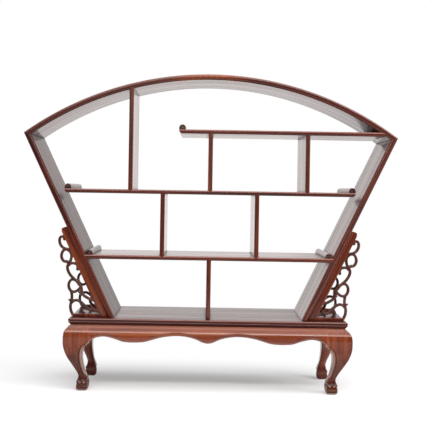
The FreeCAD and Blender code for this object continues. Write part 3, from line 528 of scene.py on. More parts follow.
@dataclass(frozen=True)
class Rosewood:
    """Gloss lacquer over reddish brown rosewood with dark streaks; lengths in metres."""

    label: str
    tones: tuple[Triple, Triple, Triple]
    grain: Grain
    number: int
    streak: float = 0.5
    roughness: float = 0.45
    coat: float = 1.0
    coat_roughness: float = 0.12
    # Reach of the grime with painted shade in hollows, and of the coat's thinning in joints
    recess: float = 0.006
    # Share of the carved and pointy marks: grime with painted shade, and rubbing with painted
    # highlight
    wear_grime_and_light: float = 0.0
    # Share of painted highlight with rubbing on arrises that face up
    arris_highlight_and_rubbing: float = 0.0
    warm_below: float = 0.0
    # Half length of the arch's lighter stretch, partly figure and partly painted highlight
    highlight_patch: float = 0.0
    # Share of painted shade towards the feet
    painted_foot_shade: float = 0.0
    board_angle: float = 0.0

    def grain_place(self, sheet: NodeSheet) -> Socket:
        """Give the place on the piece with X along its grain.

        Args:
            sheet: The material's nodes.

        Returns:
            A vector's socket, in metres.
        """
        if self.grain is Grain.ROUND_ARCH:
            x, y, z = sheet.parts()
            reach = sheet.add("CombineXYZ", {0: x, 2: z}).outputs[0]
            radius = sheet.add("VectorMath", {0: reach}, operation="LENGTH").outputs["Value"]
            run = sheet.math("MULTIPLY", sheet.math("ARCTAN2", x, z), ARCH_GRAIN_RADIUS)
            return sheet.add("CombineXYZ", {0: run, 1: y, 2: radius}).outputs[0]
        about_y, about_z, lean = self.grain.value
        turn = (0.0, about_y + lean * self.board_angle, about_z)
        return sheet.add("Mapping", {"Vector": sheet.place(), "Rotation": turn}).outputs[0]

    def fibres(self, sheet: NodeSheet, place: Socket, kind: Fibres) -> Socket:
        """Noise drawn out along the grain.

        Args:
            sheet: The material's nodes.
            place: The place with X along the grain.
            kind: Kind of the fibres.

        Returns:
            A socket from 0 to 1.
        """
        along, across, detail, bend = kind.value
        shift = [self.number * step for step in BOARD_SHIFT]
        spread = sheet.add("Mapping", {"Vector": place, "Location": shift,
                                       "Scale": (along, across, across)}).outputs[0]
        return sheet.add("TexNoise", {"Vector": spread, "Scale": 1.0, "Detail": detail,
                                      "Roughness": 0.55, "Distortion": bend}).outputs["Fac"]

    def used(self, sheet: NodeSheet, colour: Socket) -> Socket:
        """Darken hollows with grime and painted shade and the feet with painted shade, and lighten
        what stands proud with rubbing and painted highlights.

        Args:
            sheet: The material's nodes.
            colour: The wood's colour.

        Returns:
            The marked colour.
        """
        if self.wear_grime_and_light:
            # Pointiness paints shade into creases, and rubbing with highlights onto ridges
            proud = sheet.add("NewGeometry").outputs["Pointiness"]
            colour = sheet.mixed(self.wear_grime_and_light, colour, sheet.ramp(proud, CREASE_SHADE_RIDGE_LIGHT_RAMP))
            # Positive carved marks paint grime and shade into hollows and grooves
            carved = sheet.add("Attribute", attribute_name="carved").outputs["Fac"]
            grime_and_shade = sheet.math("MULTIPLY", sheet.math("MAXIMUM", carved, 0.0), self.wear_grime_and_light)
            colour = sheet.mixed(grime_and_shade, colour, DIRT_AND_SHADE)
        if self.painted_foot_shade:
            # Painted shade towards the feet
            low = sheet.fade(sheet.parts()[2], *FOOT_HEIGHTS, 0.0, self.painted_foot_shade)
            colour = sheet.mixed(low, colour, FOOT_SHADE)
        if self.wear_grime_and_light:
            # Negative carved marks paint rubbing and highlights on edges, the rim and the
            # shoulder's fold
            rubbing_and_highlight = sheet.math("MULTIPLY", sheet.math("MINIMUM", carved, 0.0), -CARVING_RUBBING_AND_HIGHLIGHT)
            colour = sheet.mixed(rubbing_and_highlight, colour, LIT_CARVING_RUBBING, "MIX")
        return colour

    def faded(self, sheet: NodeSheet, colour: Socket) -> Socket:
        """Change the tone along the fan's front edge, in part with a painted highlight and painted
        shade, and paint highlights with rubbing on its arrises.

        Args:
            sheet: The material's nodes.
            colour: The wood's colour.

        Returns:
            The changed colour.
        """
        stretches = []
        if self.highlight_patch:
            # The arch's lighter stretch is partly figure and partly painted highlight, the darker
            # one painted shade
            across, end = sheet.parts()[0], self.highlight_patch
            middle = sheet.fade(sheet.math("ABSOLUTE", across), end + PATCH_FADE,
                                end - PATCH_FADE)
            stretches = [(middle, FIGURE_AND_HIGHLIGHT_STRETCH),
                         (sheet.fade(across, -end, -SHADE_REACH * end), PAINTED_SHADE_STRETCH)]
        if self.warm_below:
            low = sheet.fade(sheet.parts()[2], self.warm_below, self.warm_below - WARM_FADE)
            stretches.append((low, WARM_STRETCH))
        for stretch, tint in stretches:
            edge = sheet.fade(sheet.parts()[1], *FRONT_EDGE)
            colour = sheet.mixed(sheet.math("MULTIPLY", stretch, edge), colour, tint)
        if self.arris_highlight_and_rubbing:
            # Painted highlight with rubbing on arrises that face up and to the front
            _, front, up = sheet.parts("Normal")
            rounding = sheet.ramp(sheet.math("ABSOLUTE", front), ARRIS_RAMP)
            upward = sheet.fade(up, *ARRIS_UPWARD, way="LINEAR")
            arris_light_and_rubbing = sheet.math("MULTIPLY", rounding,
                              sheet.math("MULTIPLY", upward, self.arris_highlight_and_rubbing))
            colour = sheet.mixed(arris_light_and_rubbing, colour, ARRIS_HIGHLIGHT_AND_RUBBING, "MIX")
        return colour

    def material(self) -> Material:
        """Lay out the wood, its pores, grime with painted shade in its hollows, and the lacquer.

        Returns:
            The material.
        """
        material = bpy.data.materials.new(
            "rosewood_%s_%s_%d" % (self.label, self.grain.name.lower(), self.number))
        sheet = NodeSheet(material)
        place = self.grain_place(sheet)
        figure, streaks, fine, pores, film, coat = (
            self.fibres(sheet, place, kind) for kind in Fibres)
        tone = sheet.math("MULTIPLY_ADD", streaks, self.streak,
                          sheet.math("MULTIPLY", figure, 1.0 - self.streak))
        tone = sheet.math("MULTIPLY_ADD", fine, FINE_SHARE,
                          sheet.math("MULTIPLY", tone, 1.0 - FINE_SHARE))
        colour = sheet.ramp(tone, list(zip(TONE_PLACES, self.tones)))
        colour = sheet.mixed(PORE_SHARE, colour, sheet.ramp(pores, PORE_RAMP))
        # Local ambient occlusion paints grime and shade into hollows; the wider one thins the coat
        # in joints
        hollow, joint = (sheet.add("AmbientOcclusion", {"Distance": self.recess}, samples=8,
                                   only_local=local).outputs["AO"] for local in (True, False))
        colour = sheet.mixed(1.0, colour, sheet.ramp(hollow, HOLLOW_GRIME_AND_SHADE_RAMP))
        colour = self.faded(sheet, self.used(sheet, colour))
        cover = sheet.math("MULTIPLY", sheet.fade(joint, *JOINT_FADE, "LINEAR"),
                           sheet.math("MULTIPLY_ADD", coat, COAT_STREAKS * self.coat,
                                      COAT_LOW * self.coat))
        shader = sheet.add("BsdfPrincipled", {
            "Base Color": colour, "Normal": sheet.bump(fine, *GRAIN_RELIEF), "IOR": 1.45,
            "Roughness": sheet.math("MULTIPLY_ADD", fine, ROUGHNESS_SPREAD,
                                    self.roughness - ROUGHNESS_SPREAD / 2),
            "Specular IOR Level": 0.13, "Specular Tint": (1.0, 0.62, 0.52, 1.0),
            "Coat Weight": cover, "Coat Roughness": self.coat_roughness, "Coat IOR": 1.38,
            "Coat Normal": sheet.bump(film, *FILM_RELIEF)})
        sheet.add("OutputMaterial", {"Surface": shader.outputs[0]})
        return material


@dataclass(frozen=True)
class PlainWood:
    """Unfinished wood of the hidden pieces."""

    name: str
    dark: Triple
    light: Triple

    def material(self) -> Material:
        """Lay out straight fibres in two tones.

        Returns:
            The material.
        """
        material = bpy.data.materials.new(self.name)
        sheet = NodeSheet(material)
        place = sheet.add("Mapping", {"Vector": sheet.place(),
                                      "Scale": (30.0, 400.0, 400.0)}).outputs[0]
        fibres = sheet.add("TexNoise", {"Vector": place, "Scale": 1.0,
                                        "Detail": 4.0}).outputs["Fac"]
        shader = sheet.add("BsdfPrincipled", {
            "Base Color": sheet.ramp(fibres, ((0.35, self.dark), (0.65, self.light))),
            "Roughness": 0.7, "Normal": sheet.bump(fibres, *BARE_RELIEF)})
        sheet.add("OutputMaterial", {"Surface": shader.outputs[0]})
        return material


@dataclass(frozen=True)
class FanFrame:
    """Arched top board and two sloping side boards, mitred at the corners."""

    width: float = 660.0
    height: float = 560.0
    depth: float = 130.0
    radius: float = 560.0
    arch_thick: float = 10.0
    side_thick: float = 10.4
    foot_half_width: float = 176.5
    slab_top: float = 129.0
    nose: tuple[float, int] = (4.2, 7)
    arch_steps: int = 120
    # Angle by which the arch is spun too long at each end
    arch_spare: float = 0.02

    @property
    def centre(self) -> float:
        """Height of the arch's centre."""
        return self.height - self.radius

    @property
    def corner(self) -> Point:
        """Outer corner, across and up."""
        half = self.width / 2
        return half, self.centre + math.sqrt(self.radius ** 2 - half ** 2)

    @property
    def slope(self) -> float:
        """How far a side board leans out for each length up."""
        across, up = self.corner
        return (across - self.foot_half_width) / (up - self.slab_top)

    @property
    def stretch(self) -> float:
        """Length along a side board for each length up."""
        return math.sqrt(1 + self.slope ** 2)

    @property
    def angle(self) -> float:
        """Lean of a side board from upright."""
        return math.atan(self.slope)

    @property
    def side_across(self) -> float:
        """Thickness of a side board, measured level."""
        return self.side_thick * self.stretch

    def half_width(self, height: float, inward: float = 0.0) -> float:
        """Half width of the fan at a height, less a level distance in from its outer faces."""
        return self.foot_half_width + self.slope * (height - self.slab_top) - inward

    @property
    def inner_corner(self) -> Point:
        """Inner corner, where the side board's inner face meets the arch's soffit.

        Returns:
            Its place across and up.
        """
        radius = self.radius - self.arch_thick
        base = self.half_width(self.centre, self.side_across)
        root = math.sqrt(radius ** 2 * self.stretch ** 2 - base ** 2)
        rise = (root - base * self.slope) / self.stretch ** 2
        return base + self.slope * rise, self.centre + rise

    def mitre(self, side: int) -> tuple[Vector, Vector]:
        """Plane of a corner's mitre.

        Args:
            side: -1 for the left corner or 1 for the right one.

        Returns:
            A point on it and its normal, which points up and away from the side board.
        """
        (outer_x, outer_z), (inner_x, inner_z) = self.corner, self.inner_corner
        along = Vector((side * (outer_x - inner_x), 0.0, outer_z - inner_z)).normalized()
        normal = Vector((-along.z, 0.0, along.x))
        return Vector((side * inner_x, 0.0, inner_z)) * MM, -normal if normal.z < 0 else normal

    def arch(self) -> BMesh:
        """Spin the board's section round the arch's centre and saw both mitres.

        Returns:
            The board's mesh.
        """
        bm = rounded_blank(self.depth, self.arch_thick, self.nose)
        centre = Vector((0.0, 0.0, self.centre * MM))
        out = Vector((0.0, 0.0, (self.radius - self.arch_thick / 2) * MM))
        half = math.asin(self.corner[0] / self.radius) + self.arch_spare
        matrix = (Matrix.Translation(centre) @ Matrix.Rotation(-half, 4, "Y")
                  @ Matrix.Translation(out) @ Matrix.Rotation(-QUARTER_TURN, 4, "Y")
                  @ Matrix.Rotation(QUARTER_TURN, 4, "Z"))
        bmesh.ops.transform(bm, matrix=matrix, verts=bm.verts)
        bmesh.ops.spin(bm, geom=bm.faces[:], cent=centre, axis=(0.0, 1.0, 0.0), angle=2 * half,
                       steps=self.arch_steps, use_merge=False, use_duplicate=False)
        bmesh.ops.remove_doubles(bm, verts=bm.verts, dist=1e-6)
        for side in (-1, 1):
            point, normal = self.mitre(side)
            sliced(bm, point, -normal)
        return bm

    def side_board(self, side: int) -> BMesh:
        """Draw out a side board and saw its mitre and its foot.

        Args:
            side: -1 for the left board or 1 for the right one.

        Returns:
            The board's mesh.
        """
        up = (self.slab_top + self.corner[1]) / 2
        middle = Vector((side * self.half_width(up, self.side_across / 2), 0.0, up)) * MM
        bm = board(self.side_thick, self.depth, self.height, self.nose,
                   Matrix.Translation(middle) @ Matrix.Rotation(side * self.angle, 4, "Y"))
        sliced(bm, *self.mitre(side))
        sliced(bm, Vector((0.0, 0.0, self.slab_top)) * MM, Vector((0.0, 0.0, -1.0)))
        return bm

    def build(self) -> None:
        """Make and dress the three boards."""
        wood = Rosewood("frame", FRAME_TONES, Grain.ROUND_ARCH, 1, arris_highlight_and_rubbing=0.35,
                        highlight_patch=0.055)
        dress(self.arch(), "arch_board", wood.material(), arris=ARRIS)
        left = Rosewood("left", LEFT_TONES, Grain.UP_LEFT_BOARD, 2, coat=0.6, arris_highlight_and_rubbing=0.05,
                        warm_below=0.305, board_angle=self.angle)
        right = Rosewood("right", RIGHT_TONES, Grain.UP_RIGHT_BOARD, 2, arris_highlight_and_rubbing=0.15,
                         board_angle=self.angle)
        for side, wood in ((-1, left), (1, right)):
            dress(self.side_board(side), wood.label + "_side_board", wood.material(),
                  arris=ARRIS)


@dataclass(frozen=True)
class Shelves:
    """Three shelves with a roll on each open or outer end, and the dividers between them."""

    fan: FanFrame
    thick: float = 7.4
    nose: tuple[float, int] = (3.0, 6)
    upper_rise: float = 5.4
    upper_end_inset: float = 5.0
    middle_top: float = 354.9
    lower_top: float = 238.8
    upper_reach: float = 56.3
    middle_end_gap: float = 15.8
    end_rise: float = 4.6
    end_run: float = 3.6
    roll_width: float = 12.0
    roll_height: float = 8.7
    roll_set_back: float = 1.2
    roll_end_gap: float = 0.3
    roll_faces: int = 10
    # Softened ends of a roll: distance in from its end and inset
    roll_ends: tuple[Point, ...] = ((0.0, 0.7), (0.3, 0.25), (1.0, 0.0))
    # Sunk ring and button on a roll's end: inset and rise of each step
    roll_rings: tuple[Point, ...] = ((1.0, 0.0), (0.45, -0.7), (0.7, 0.0), (0.5, 0.65))
    divider_thick: float = 7.8
    divider_housing: float = 3.0
    divider_set_back: float = 0.12
    upper_left_place: float = 140.7
    upper_right_place: float = 171.4
    middle_place: float = 83.2

    @property
    def upper_top(self) -> float:
        """Height of the upper shelf's top."""
        return self.fan.inner_corner[1] + self.upper_rise + self.thick

    @property
    def middle_half(self) -> float:
        """Half length of the middle shelf."""
        return self.fan.half_width(self.middle_top, self.fan.side_across) - self.middle_end_gap

    def shelf(self, top: float, left: float, right: float, open_ends: Sequence[int]) -> BMesh:
        """Draw out a shelf between two places.

        Args:
            top: Height of its top.
            left: Place of its left end.
            right: Place of its right end.
            open_ends: The ends that are slanted below, -1 for the left and 1 for the right.

        Returns:
            The shelf's mesh.
        """
        middle = Vector(((left + right) / 2, 0.0, top - self.thick / 2)) * MM
        bm = board(self.thick, self.fan.depth, right - left, self.nose,
                   Matrix.Translation(middle) @ Matrix.Rotation(QUARTER_TURN, 4, "Y"))
        for side in open_ends:
            place = left if side < 0 else right
            sliced(bm, Vector((place, 0.0, top - self.thick + self.end_rise)) * MM,
                   Vector((side * self.end_rise, 0.0, -self.end_run)).normalized())
        return bm

    def roll(self, left: float, top: float) -> BMesh:
        """Bar with a round top across a shelf's end.

        Args:
            left: Place of its left side.
            top: Height of the shelf under it.

        Returns:
            The roll's mesh.
        """
        radius = self.roll_width / 2
        ring = [Vector((0.0, 0.0, 0.0)), Vector((self.roll_width, 0.0, 0.0))]
        for step in range(self.roll_faces + 1):
            turn = math.pi * step / self.roll_faces
            ring.append(Vector((radius + radius * math.cos(turn), 0.0,
                                self.roll_height - radius + radius * math.sin(turn))))
        reach = self.fan.depth / 2 - self.roll_set_back
        stations = [(away - reach, inset) for away, inset in self.roll_ends]
        stations += [(-back, inset) for back, inset in reversed(stations)]
        centre = Vector((radius, 0.0, self.roll_height / 2))
        rings = []
        for back, inset in stations:
            row = []
            for corner in ring:
                lean = centre - corner
                if not corner.z:
                    lean.z = 0.0
                row.append((corner + lean.normalized() * inset + Vector((left, back, top))) * MM)
            rings.append(row)
        bm = loft(rings)
        for sense in (-1, 1):
            end = [face for face in bm.faces if face.normal.y * sense > FACING]
            for margin, rise in self.roll_rings:
                bmesh.ops.inset_region(bm, faces=end, thickness=margin * MM, depth=rise * MM)
        return bm

    def divider(self, across: float, low: float, high: float) -> BMesh:
        """Upright board housed in what lies under and over it.

        Args:
            across: Place of its middle.
            low: Height of the surface that it stands on.
            high: Height of the surface over it.

        Returns:
            The divider's mesh.
        """
        low, high = low - self.divider_housing, high + self.divider_housing
        depth = self.fan.depth - 2 * self.divider_set_back
        return board(self.divider_thick, depth, high - low, self.nose,
                     Matrix.Translation(Vector((across, 0.0, (low + high) / 2)) * MM))

    def build(self) -> None:
        """Make and dress the shelves, rolls and dividers."""
        fan, upper, middle, lower = self.fan, self.upper_top, self.middle_top, self.lower_top
        upper_right = math.sqrt((fan.radius - self.upper_end_inset) ** 2
                                - (upper - fan.centre) ** 2)
        lower_half = fan.half_width(lower - self.thick, fan.side_across / 2)
        shelves = {
            "upper_shelf": (upper, -self.upper_reach, upper_right, (-1,)),
            "middle_shelf": (middle, -self.middle_half, self.middle_half, (-1, 1)),
            "lower_shelf": (lower, -lower_half, lower_half, ()),
        }
        for number, (node, place) in enumerate(shelves.items(), 1):
            wood = Rosewood("shelf", FRAME_TONES, Grain.ALONG_WIDTH, number, coat=0.92,
                            arris_highlight_and_rubbing=0.75)
            dress(self.shelf(*place), node, wood.material(), arris=ARRIS)

        lower_roll = fan.half_width(lower, fan.side_across + self.roll_end_gap)
        rolls = {
            "upper_shelf_roll": (-self.upper_reach, upper),
            "middle_shelf_left_roll": (-self.middle_half, middle),
            "middle_shelf_right_roll": (self.middle_half - self.roll_width, middle),
            "lower_shelf_left_roll": (-lower_roll, lower),
            "lower_shelf_right_roll": (lower_roll - self.roll_width, lower),
        }
        roll_wood = Rosewood("roll", ROLL_TONES, Grain.ALONG_DEPTH, 4).material()
        for node, place in rolls.items():
            dress(self.roll(*place), node, roll_wood)

        soffit = fan.radius - fan.arch_thick
        reach = math.sqrt(soffit ** 2 - self.upper_left_place ** 2) + fan.centre
        dividers = {
            "upper_left_divider": (-self.upper_left_place, middle, reach),
            "upper_middle_divider": (0.0, middle, upper - self.thick),
            "upper_right_divider": (self.upper_right_place, middle, upper - self.thick),
            "middle_left_divider": (-self.middle_place, lower, middle - self.thick),
            "middle_right_divider": (self.middle_place, lower, middle - self.thick),
            "lower_divider": (0.0, fan.slab_top, lower - self.thick),
        }
        for number, (node, place) in enumerate(dividers.items()):
            label, tones = ("upper", UPPER_TONES) if number < 3 else ("divider", FRAME_TONES)
            wood = Rosewood(label, tones, Grain.UPRIGHT, 5 + number % 3)
            dress(self.divider(*place), node, wood.material(), arris=ARRIS)


@dataclass(frozen=True)
class BaseSlab:
    """Moulded slab between the stand and the fan-shaped frame."""

    width: float = 487.0
    depth: float = 160.0
    underside: float = 118.0
    # How far the moulding lies in from the slab's outline, and its height above the underside
    moulding: tuple[Point, ...] = (
        (4.2, 0.0), (3.4, 0.5), (2.5, 1.4), (1.9, 2.4), (1.6, 3.2), (1.0, 3.4), (0.45, 3.7),
        (0.15, 4.2), (0.05, 4.7), (0.15, 5.2), (0.5, 5.6), (1.3, 5.75), (1.5, 6.05), (1.3, 6.35),
        (0.4, 6.5), (0.1, 6.9), (0.0, 7.5), (0.0, 8.6), (0.2, 9.4), (0.76, 10.24), (1.6, 10.8),
        (2.6, 11.0),
    )

    def build(self) -> None:
        """Make and dress the slab."""
        rings = []
        for inset, up in self.moulding:
            x, y = self.width / 2 - inset, self.depth / 2 - inset
            rings.append([Vector((across, back, self.underside + up)) * MM
                          for across, back in ((-x, -y), (x, -y), (x, y), (-x, y))])
        wood = Rosewood("slab", SLAB_TONES, Grain.ALONG_WIDTH, 8, coat=0.78, arris_highlight_and_rubbing=0.6)
        dress(loft(rings), "base_slab", wood.material(), sharp=50.0)


@dataclass(frozen=True)
class Stand:
    """Four cabriole legs and four scalloped aprons with a beaded edge."""

    width: float = 502.0
    depth: float = 178.0
    height: float = 118.0
    stock: float = 44.0
    knee_share: float = 0.748
    waist_inset: float = 12.5
    shoulder_drop: float = 12.5
    shoulder_inset: float = 1.0
    # Control points of the shoulder's two arcs, and the point where they meet
    shoulder_line: tuple[Point, ...] = ((7.53, 115.13), (3.13, 109.5), (1.96, 107.77))
    shoulder_steps: tuple[int, int] = (6, 4)
    apron_back: float = 18.0
    # Shares of the way down an apron's face at which its points lie, from fold to bead
    apron_levels: Triple = (0.12, 0.3, 0.5)
    # Stations in half the length of a long and of a short apron
    apron_steps: tuple[int, int] = (90, 30)
    arris: float = 1.1
    stations: int = 90
    foot_stations: int = 60
    # First of the foot's stations, above the sole's levels
    foot_start: int = 3
    face_steps: int = 16
    # Levels of a leg's sole
    sole_levels: Triple = (0.4, 0.9, 1.6)
    # Height over which a leg's edge sharpens above the knee, and its radius there
    knee_edge: Point = (2.0, 0.1)
    # Corner radius that a leg gains towards the floor, and how fast
    foot_rounding: Point = (3.2, 0.7)
    # Share of the height above which a leg has its bead, how far past the knee it ends, and the
    # lengths of its fade at both ends
    bead_start: float = 0.20
    bead_end: float = 1.0
    bead_fade: Point = (6.0, 3.0)
    # Painted highlight along the shoulder's fold and painted reflection over its upper part:
    # strength, height above the fold and reach of each of the two
    fold_highlight: Triple = (0.40, 1.6, 2.8)
    waist_reflection: Triple = (0.30, 6.0, 4.0)
    foot_top: float = 23.0
    # Groove over the rim: its lower and upper height and its depth
    rim_groove: Triple = (3.8, 5.2, 1.1)
    # Height at which the rim's rubbing and painted highlight start, and the height over which they
    # grow
    rim_highlight_and_rubbing: Point = (1.4, 0.8)
    # Line round the pad: its height, half width and depth
    pad_line: Triple = (8.6, 0.7, 0.5)
    # Hollow of the pad: its depth under the rim, what it gains upwards and over which height
    pad_hollow: Triple = (0.6, 1.2, 7.0)
    lappet_height: float = 18.0
    lobe_drop: float = 4.5
    # Edge of the lappet, from the lobes' line: its lower and upper end and its fall to the pad
    lappet_edge: Triple = (-0.4, 1.1, 0.9)
    # Ground above the lappet: depth, mark of grime with painted shade, and height over which it
    # fades out
    ground: Triple = (0.8, 0.7, 3.0)
    # Grime with painted shade under the lobes: mark and height over which it fades out
    lobe_grime_and_shade: Point = (0.9, 2.6)
    leg_marking: float = 1.9
    # Bead along an edge: distance from the edge, depth below the face and mark, above 0 for grime
    # with painted shade in its groove and below 0 for rubbing with painted highlight on its
    # rounding
    bead: tuple[Triple, ...] = (
        (6.4, 0.0, 0.1), (5.6, 0.45, 0.4), (5.1, 0.75, 0.5), (4.6, 0.5, 0.4), (3.9, 0.2, 0.2),
        (2.9, 0.3, -0.2), (1.7, 0.95, -0.5), (0.7, 2.0, -0.5), (0.0, 3.5, -0.2),
    )

    @property
    def knee(self) -> float:
        """Height at which a leg's inner faces reach its full stock."""
        return self.knee_share * self.height

    def waist(self) -> list[Point]:
        """Convex shoulder from the waist under the slab to the fold: inset and height.

        Returns:
            Its points, from the top.
        """
        high, bend, low = self.shoulder_line
        arcs = (((self.waist_inset, self.height), high, bend),
                (bend, low, (self.shoulder_inset, self.height - self.shoulder_drop)))
        points = [arcs[0][0]]
        for controls, steps in zip(arcs, self.shoulder_steps):
            for step in range(1, steps + 1):
                t = step / steps
                points.append(tuple(s * (1 - t) ** 2 + 2 * c * t * (1 - t) + e * t ** 2
                                    for s, c, e in zip(*controls)))
        return points

    def fold_highlight_mark(self, up: float) -> float:
        """Mark of the painted highlight and reflection on the shoulder, most of all along its
        fold.

        Args:
            up: Height above the floor.

        Returns:
            The mark, 0 or less.
        """
        above = up - self.waist()[-1][1]
        if above <= 0:
            return 0.0
        fold, fold_above, fold_reach = self.fold_highlight
        waist, waist_above, waist_reach = self.waist_reflection
        return -max(fold * clamped(1.0 - abs(above - fold_above) / fold_reach),
                    waist * clamped((above - waist_above) / waist_reach))

    def leg_outlines(self) -> tuple[Outline, Outline]:
        """Insets of a leg's outer and inner sides by height.

        Returns:
            The outer and the inner outline.
        """
        waist = [(up, inset) for inset, up in self.waist()]
        outer, inner = ([(up / 1000 * self.height, inset / 1000 * self.stock)
                         for inset, up in line] for line in (LEG_OUTER, LEG_INNER))
        body = smooth_line(waist[-1:] + outer, 12)
        return (Outline(sorted(set(body + waist)), 1),
                Outline(inner + [(self.height, self.stock)]))

    def carving(self, along: float, up: float) -> Point:
        """Carving of a foot: a lobed lappet over a hollowed pad with a line, and a rim below.

        Args:
            along: Share of the way across the face.
            up: Height above the floor.

        Returns:
            Its depth in millimetres, and its mark from -1, rubbing with a painted highlight, to 1,
            grime with painted shade.
        """
        if up > self.foot_top:
            return 0.0, 0.0
        groove_low, groove_high, groove_depth = self.rim_groove
        if up < groove_low:
            start, reach = self.rim_highlight_and_rubbing
            return 0.0, -clamped((up - start) / reach)
        if up < groove_high:
            return groove_depth, 1.0
        lobe = abs(math.sin(2 * math.pi * along))
        above = up - (self.lappet_height - self.lobe_drop * lobe)
        edge_low, edge_high, edge_fall = self.lappet_edge
        if above > edge_high:
            depth, mark, reach = self.ground
            fade = min(above - edge_high, 1.0, (self.foot_top - up) / reach)
            return depth * fade, mark * fade
        if above > edge_low:
            return 0.0, -lobe ** 0.5
        hollow = min((edge_low - above) / edge_fall, 1.0)
        depth, gain, reach = self.pad_hollow
        share = min((up - groove_high) / reach, 1.0)
        line_up, line_half, line_depth = self.pad_line
        line = max(1.0 - abs(up - line_up) / line_half, 0.0)
        mark, reach = self.lobe_grime_and_shade
        under_lobe = mark * max(1.0 + (above - edge_low) / reach, 0.0)
        return hollow * (depth + gain * share) + line_depth * line, max(under_lobe, line) * hollow

    def leg_section(self, low: float, high: float, up: float) -> list[Triple]:
        """Half of a leg's level section, from its outer corner to its inner front edge.

        Args:
            low: Inset of its outer faces.
            high: Inset of its inner faces.
            up: Height above the floor.

        Returns:
            Points as two insets from the stand's corner and a mark.
        """
        foot = clamped((self.foot_top - up) / self.foot_top)
        gain, growth = self.foot_rounding
        around = self.arris + gain * foot ** growth
        butted = clamped((up - self.knee) / self.knee_edge[0])
        inner = around * (1 - butted) + self.knee_edge[1] * butted
        fade = (clamped((up - self.bead_start * self.height) / self.bead_fade[0])
                * clamped((self.knee + self.bead_end - up) / self.bead_fade[1]))
        # Painted highlight along the shoulder's fold
        rubbing_and_highlight = self.fold_highlight_mark(up)
        sunk, mark = self.carving(0.0, up)
        section = [(low + around * (1 - math.cos(a)) + sunk * math.cos(a),
                    low + around * (1 - math.sin(a)) + sunk * math.sin(a), mark + rubbing_and_highlight)
                   for a in CORNER]
        margin = inner * (1 - fade) + self.bead[0][0] * fade
        span = high - margin - low - around
        for step in range(1, self.face_steps):
            along = step / self.face_steps
            sunk, mark = self.carving(along, up)
            section.append((low + around + span * along, low + sunk, mark + rubbing_and_highlight))
        sunk, mark = self.carving(1.0, up)
        for a, (away, depth, bead_mark) in zip(ROUNDING, self.bead):
            turned = (high - inner * (1 - math.sin(a)) - sunk * math.sin(a),
                      low + inner * (1 - math.cos(a)) + sunk * math.cos(a), mark + rubbing_and_highlight)
            beaded = (high - away, low + depth, self.leg_marking * bead_mark)
            section.append(tuple(t * (1 - fade) + d * fade for t, d in zip(turned, beaded)))
        return section

    def leg(self) -> BMesh:
        """Carve the front left leg.

        Returns:
            The leg's mesh.
        """
        outer, inner = self.leg_outlines()
        heights = {round(self.height * step / self.stations, 3) for step in range(self.stations)}
        heights |= {self.height, *self.sole_levels} | {up for _, up in self.waist()}
        heights |= {self.foot_top * step / self.foot_stations
                    for step in range(self.foot_start, self.foot_stations + 1)}
        rings, marks = [], []
        for up in sorted(heights):
            high = min(inner.at(up), self.stock) if up < self.knee else self.stock
            half = self.leg_section(outer.at(up), high, up)
            ring = half + [(high - self.arris * (1 - math.cos(a)),
                            high - self.arris * (1 - math.sin(a)), 0.0) for a in CORNER]
            ring += [(second, first, mark) for first, second, mark in reversed(half[len(CORNER):])]
            rings.append([Vector((x - self.width / 2, y - self.depth / 2, up)) * MM
                          for x, y, _ in ring])
            marks.append([mark for _, _, mark in ring])
        return loft(rings, marks)

    def apron(self, half: float, outer: float, shape: Sequence[Point], steps: int) -> BMesh:
        """Shape an apron that faces the front, centred on the middle.

        Args:
            half: Half its length.
            outer: Distance of its face from the middle.
            shape: Its lower edge, in thousandths of the half length and of the stand's height.
            steps: Stations in half its length.

        Returns:
            The apron's mesh.
        """
        edge = Outline([(along / 1000 * half, up / 1000 * self.height) for along, up in shape])
        waist = self.waist()
        fold_inset, fold_up = waist[-1]
        shoulder = [(inset, up, self.fold_highlight_mark(up)) for inset, up in waist]
        rings, marks = [], []
        for step in range(-steps, steps + 1):
            along = half * step / steps
            low = edge.at(abs(along))
            section = shoulder + [
                (max(0.0, fold_inset * (1 - 2.0 * share)), fold_up - (fold_up - low) * share, 0.0)
                for share in self.apron_levels]
            section += [(sunk, low + away, mark) for away, sunk, mark in self.bead]
            section += [(self.apron_back, low, 0.0), (self.apron_back, self.height, 0.0)]
            rings.append([Vector((along, inset - outer, up)) * MM for inset, up, _ in section])
            marks.append([mark for _, _, mark in section])
        return loft(rings, marks)

    def build(self) -> None:
        """Make and dress the legs and the aprons."""
        leg = self.leg()
        # Label and tones of the front legs' wood and of the rear legs' painted-shade copy, and how
        # much painted shade darkens their feet
        kinds = (("leg", STAND_TONES, 0.72), ("rear_leg", SHADED_REAR_STAND_TONES, 0.25))
        for (end, back), (label, tones, darker) in zip(ENDS, kinds):
            for side, across in SIDES:
                wood = Rosewood(label, tones, Grain.UPRIGHT, 11 + 2 * back + across, wear_grime_and_light=1.0,
                                painted_foot_shade=darker)
                dress(flipped(leg, across, back), "%s_%s_leg" % (end, side), wood.material())
        leg.free()
        half_width, half_depth = self.width / 2, self.depth / 2
        many, few = self.apron_steps
        long = self.apron(half_width - self.stock, half_depth, LONG_APRON, many)
        short = placed(self.apron(half_depth - self.stock, half_width, SHORT_APRON, few),
                       Matrix.Rotation(-QUARTER_TURN, 4, "Z"))
        for apron, names, grain, number in ((long, ENDS, Grain.ALONG_WIDTH, 16),
                                            (short, SIDES, Grain.ALONG_DEPTH, 17)):
            wood = Rosewood("apron", STAND_TONES, grain, number, wear_grime_and_light=0.3).material()
            for name, far in names:
                turned = flipped(apron, far and apron is short, far and apron is long)
                dress(turned, name + "_apron", wood, sharp=50.0)
            apron.free()


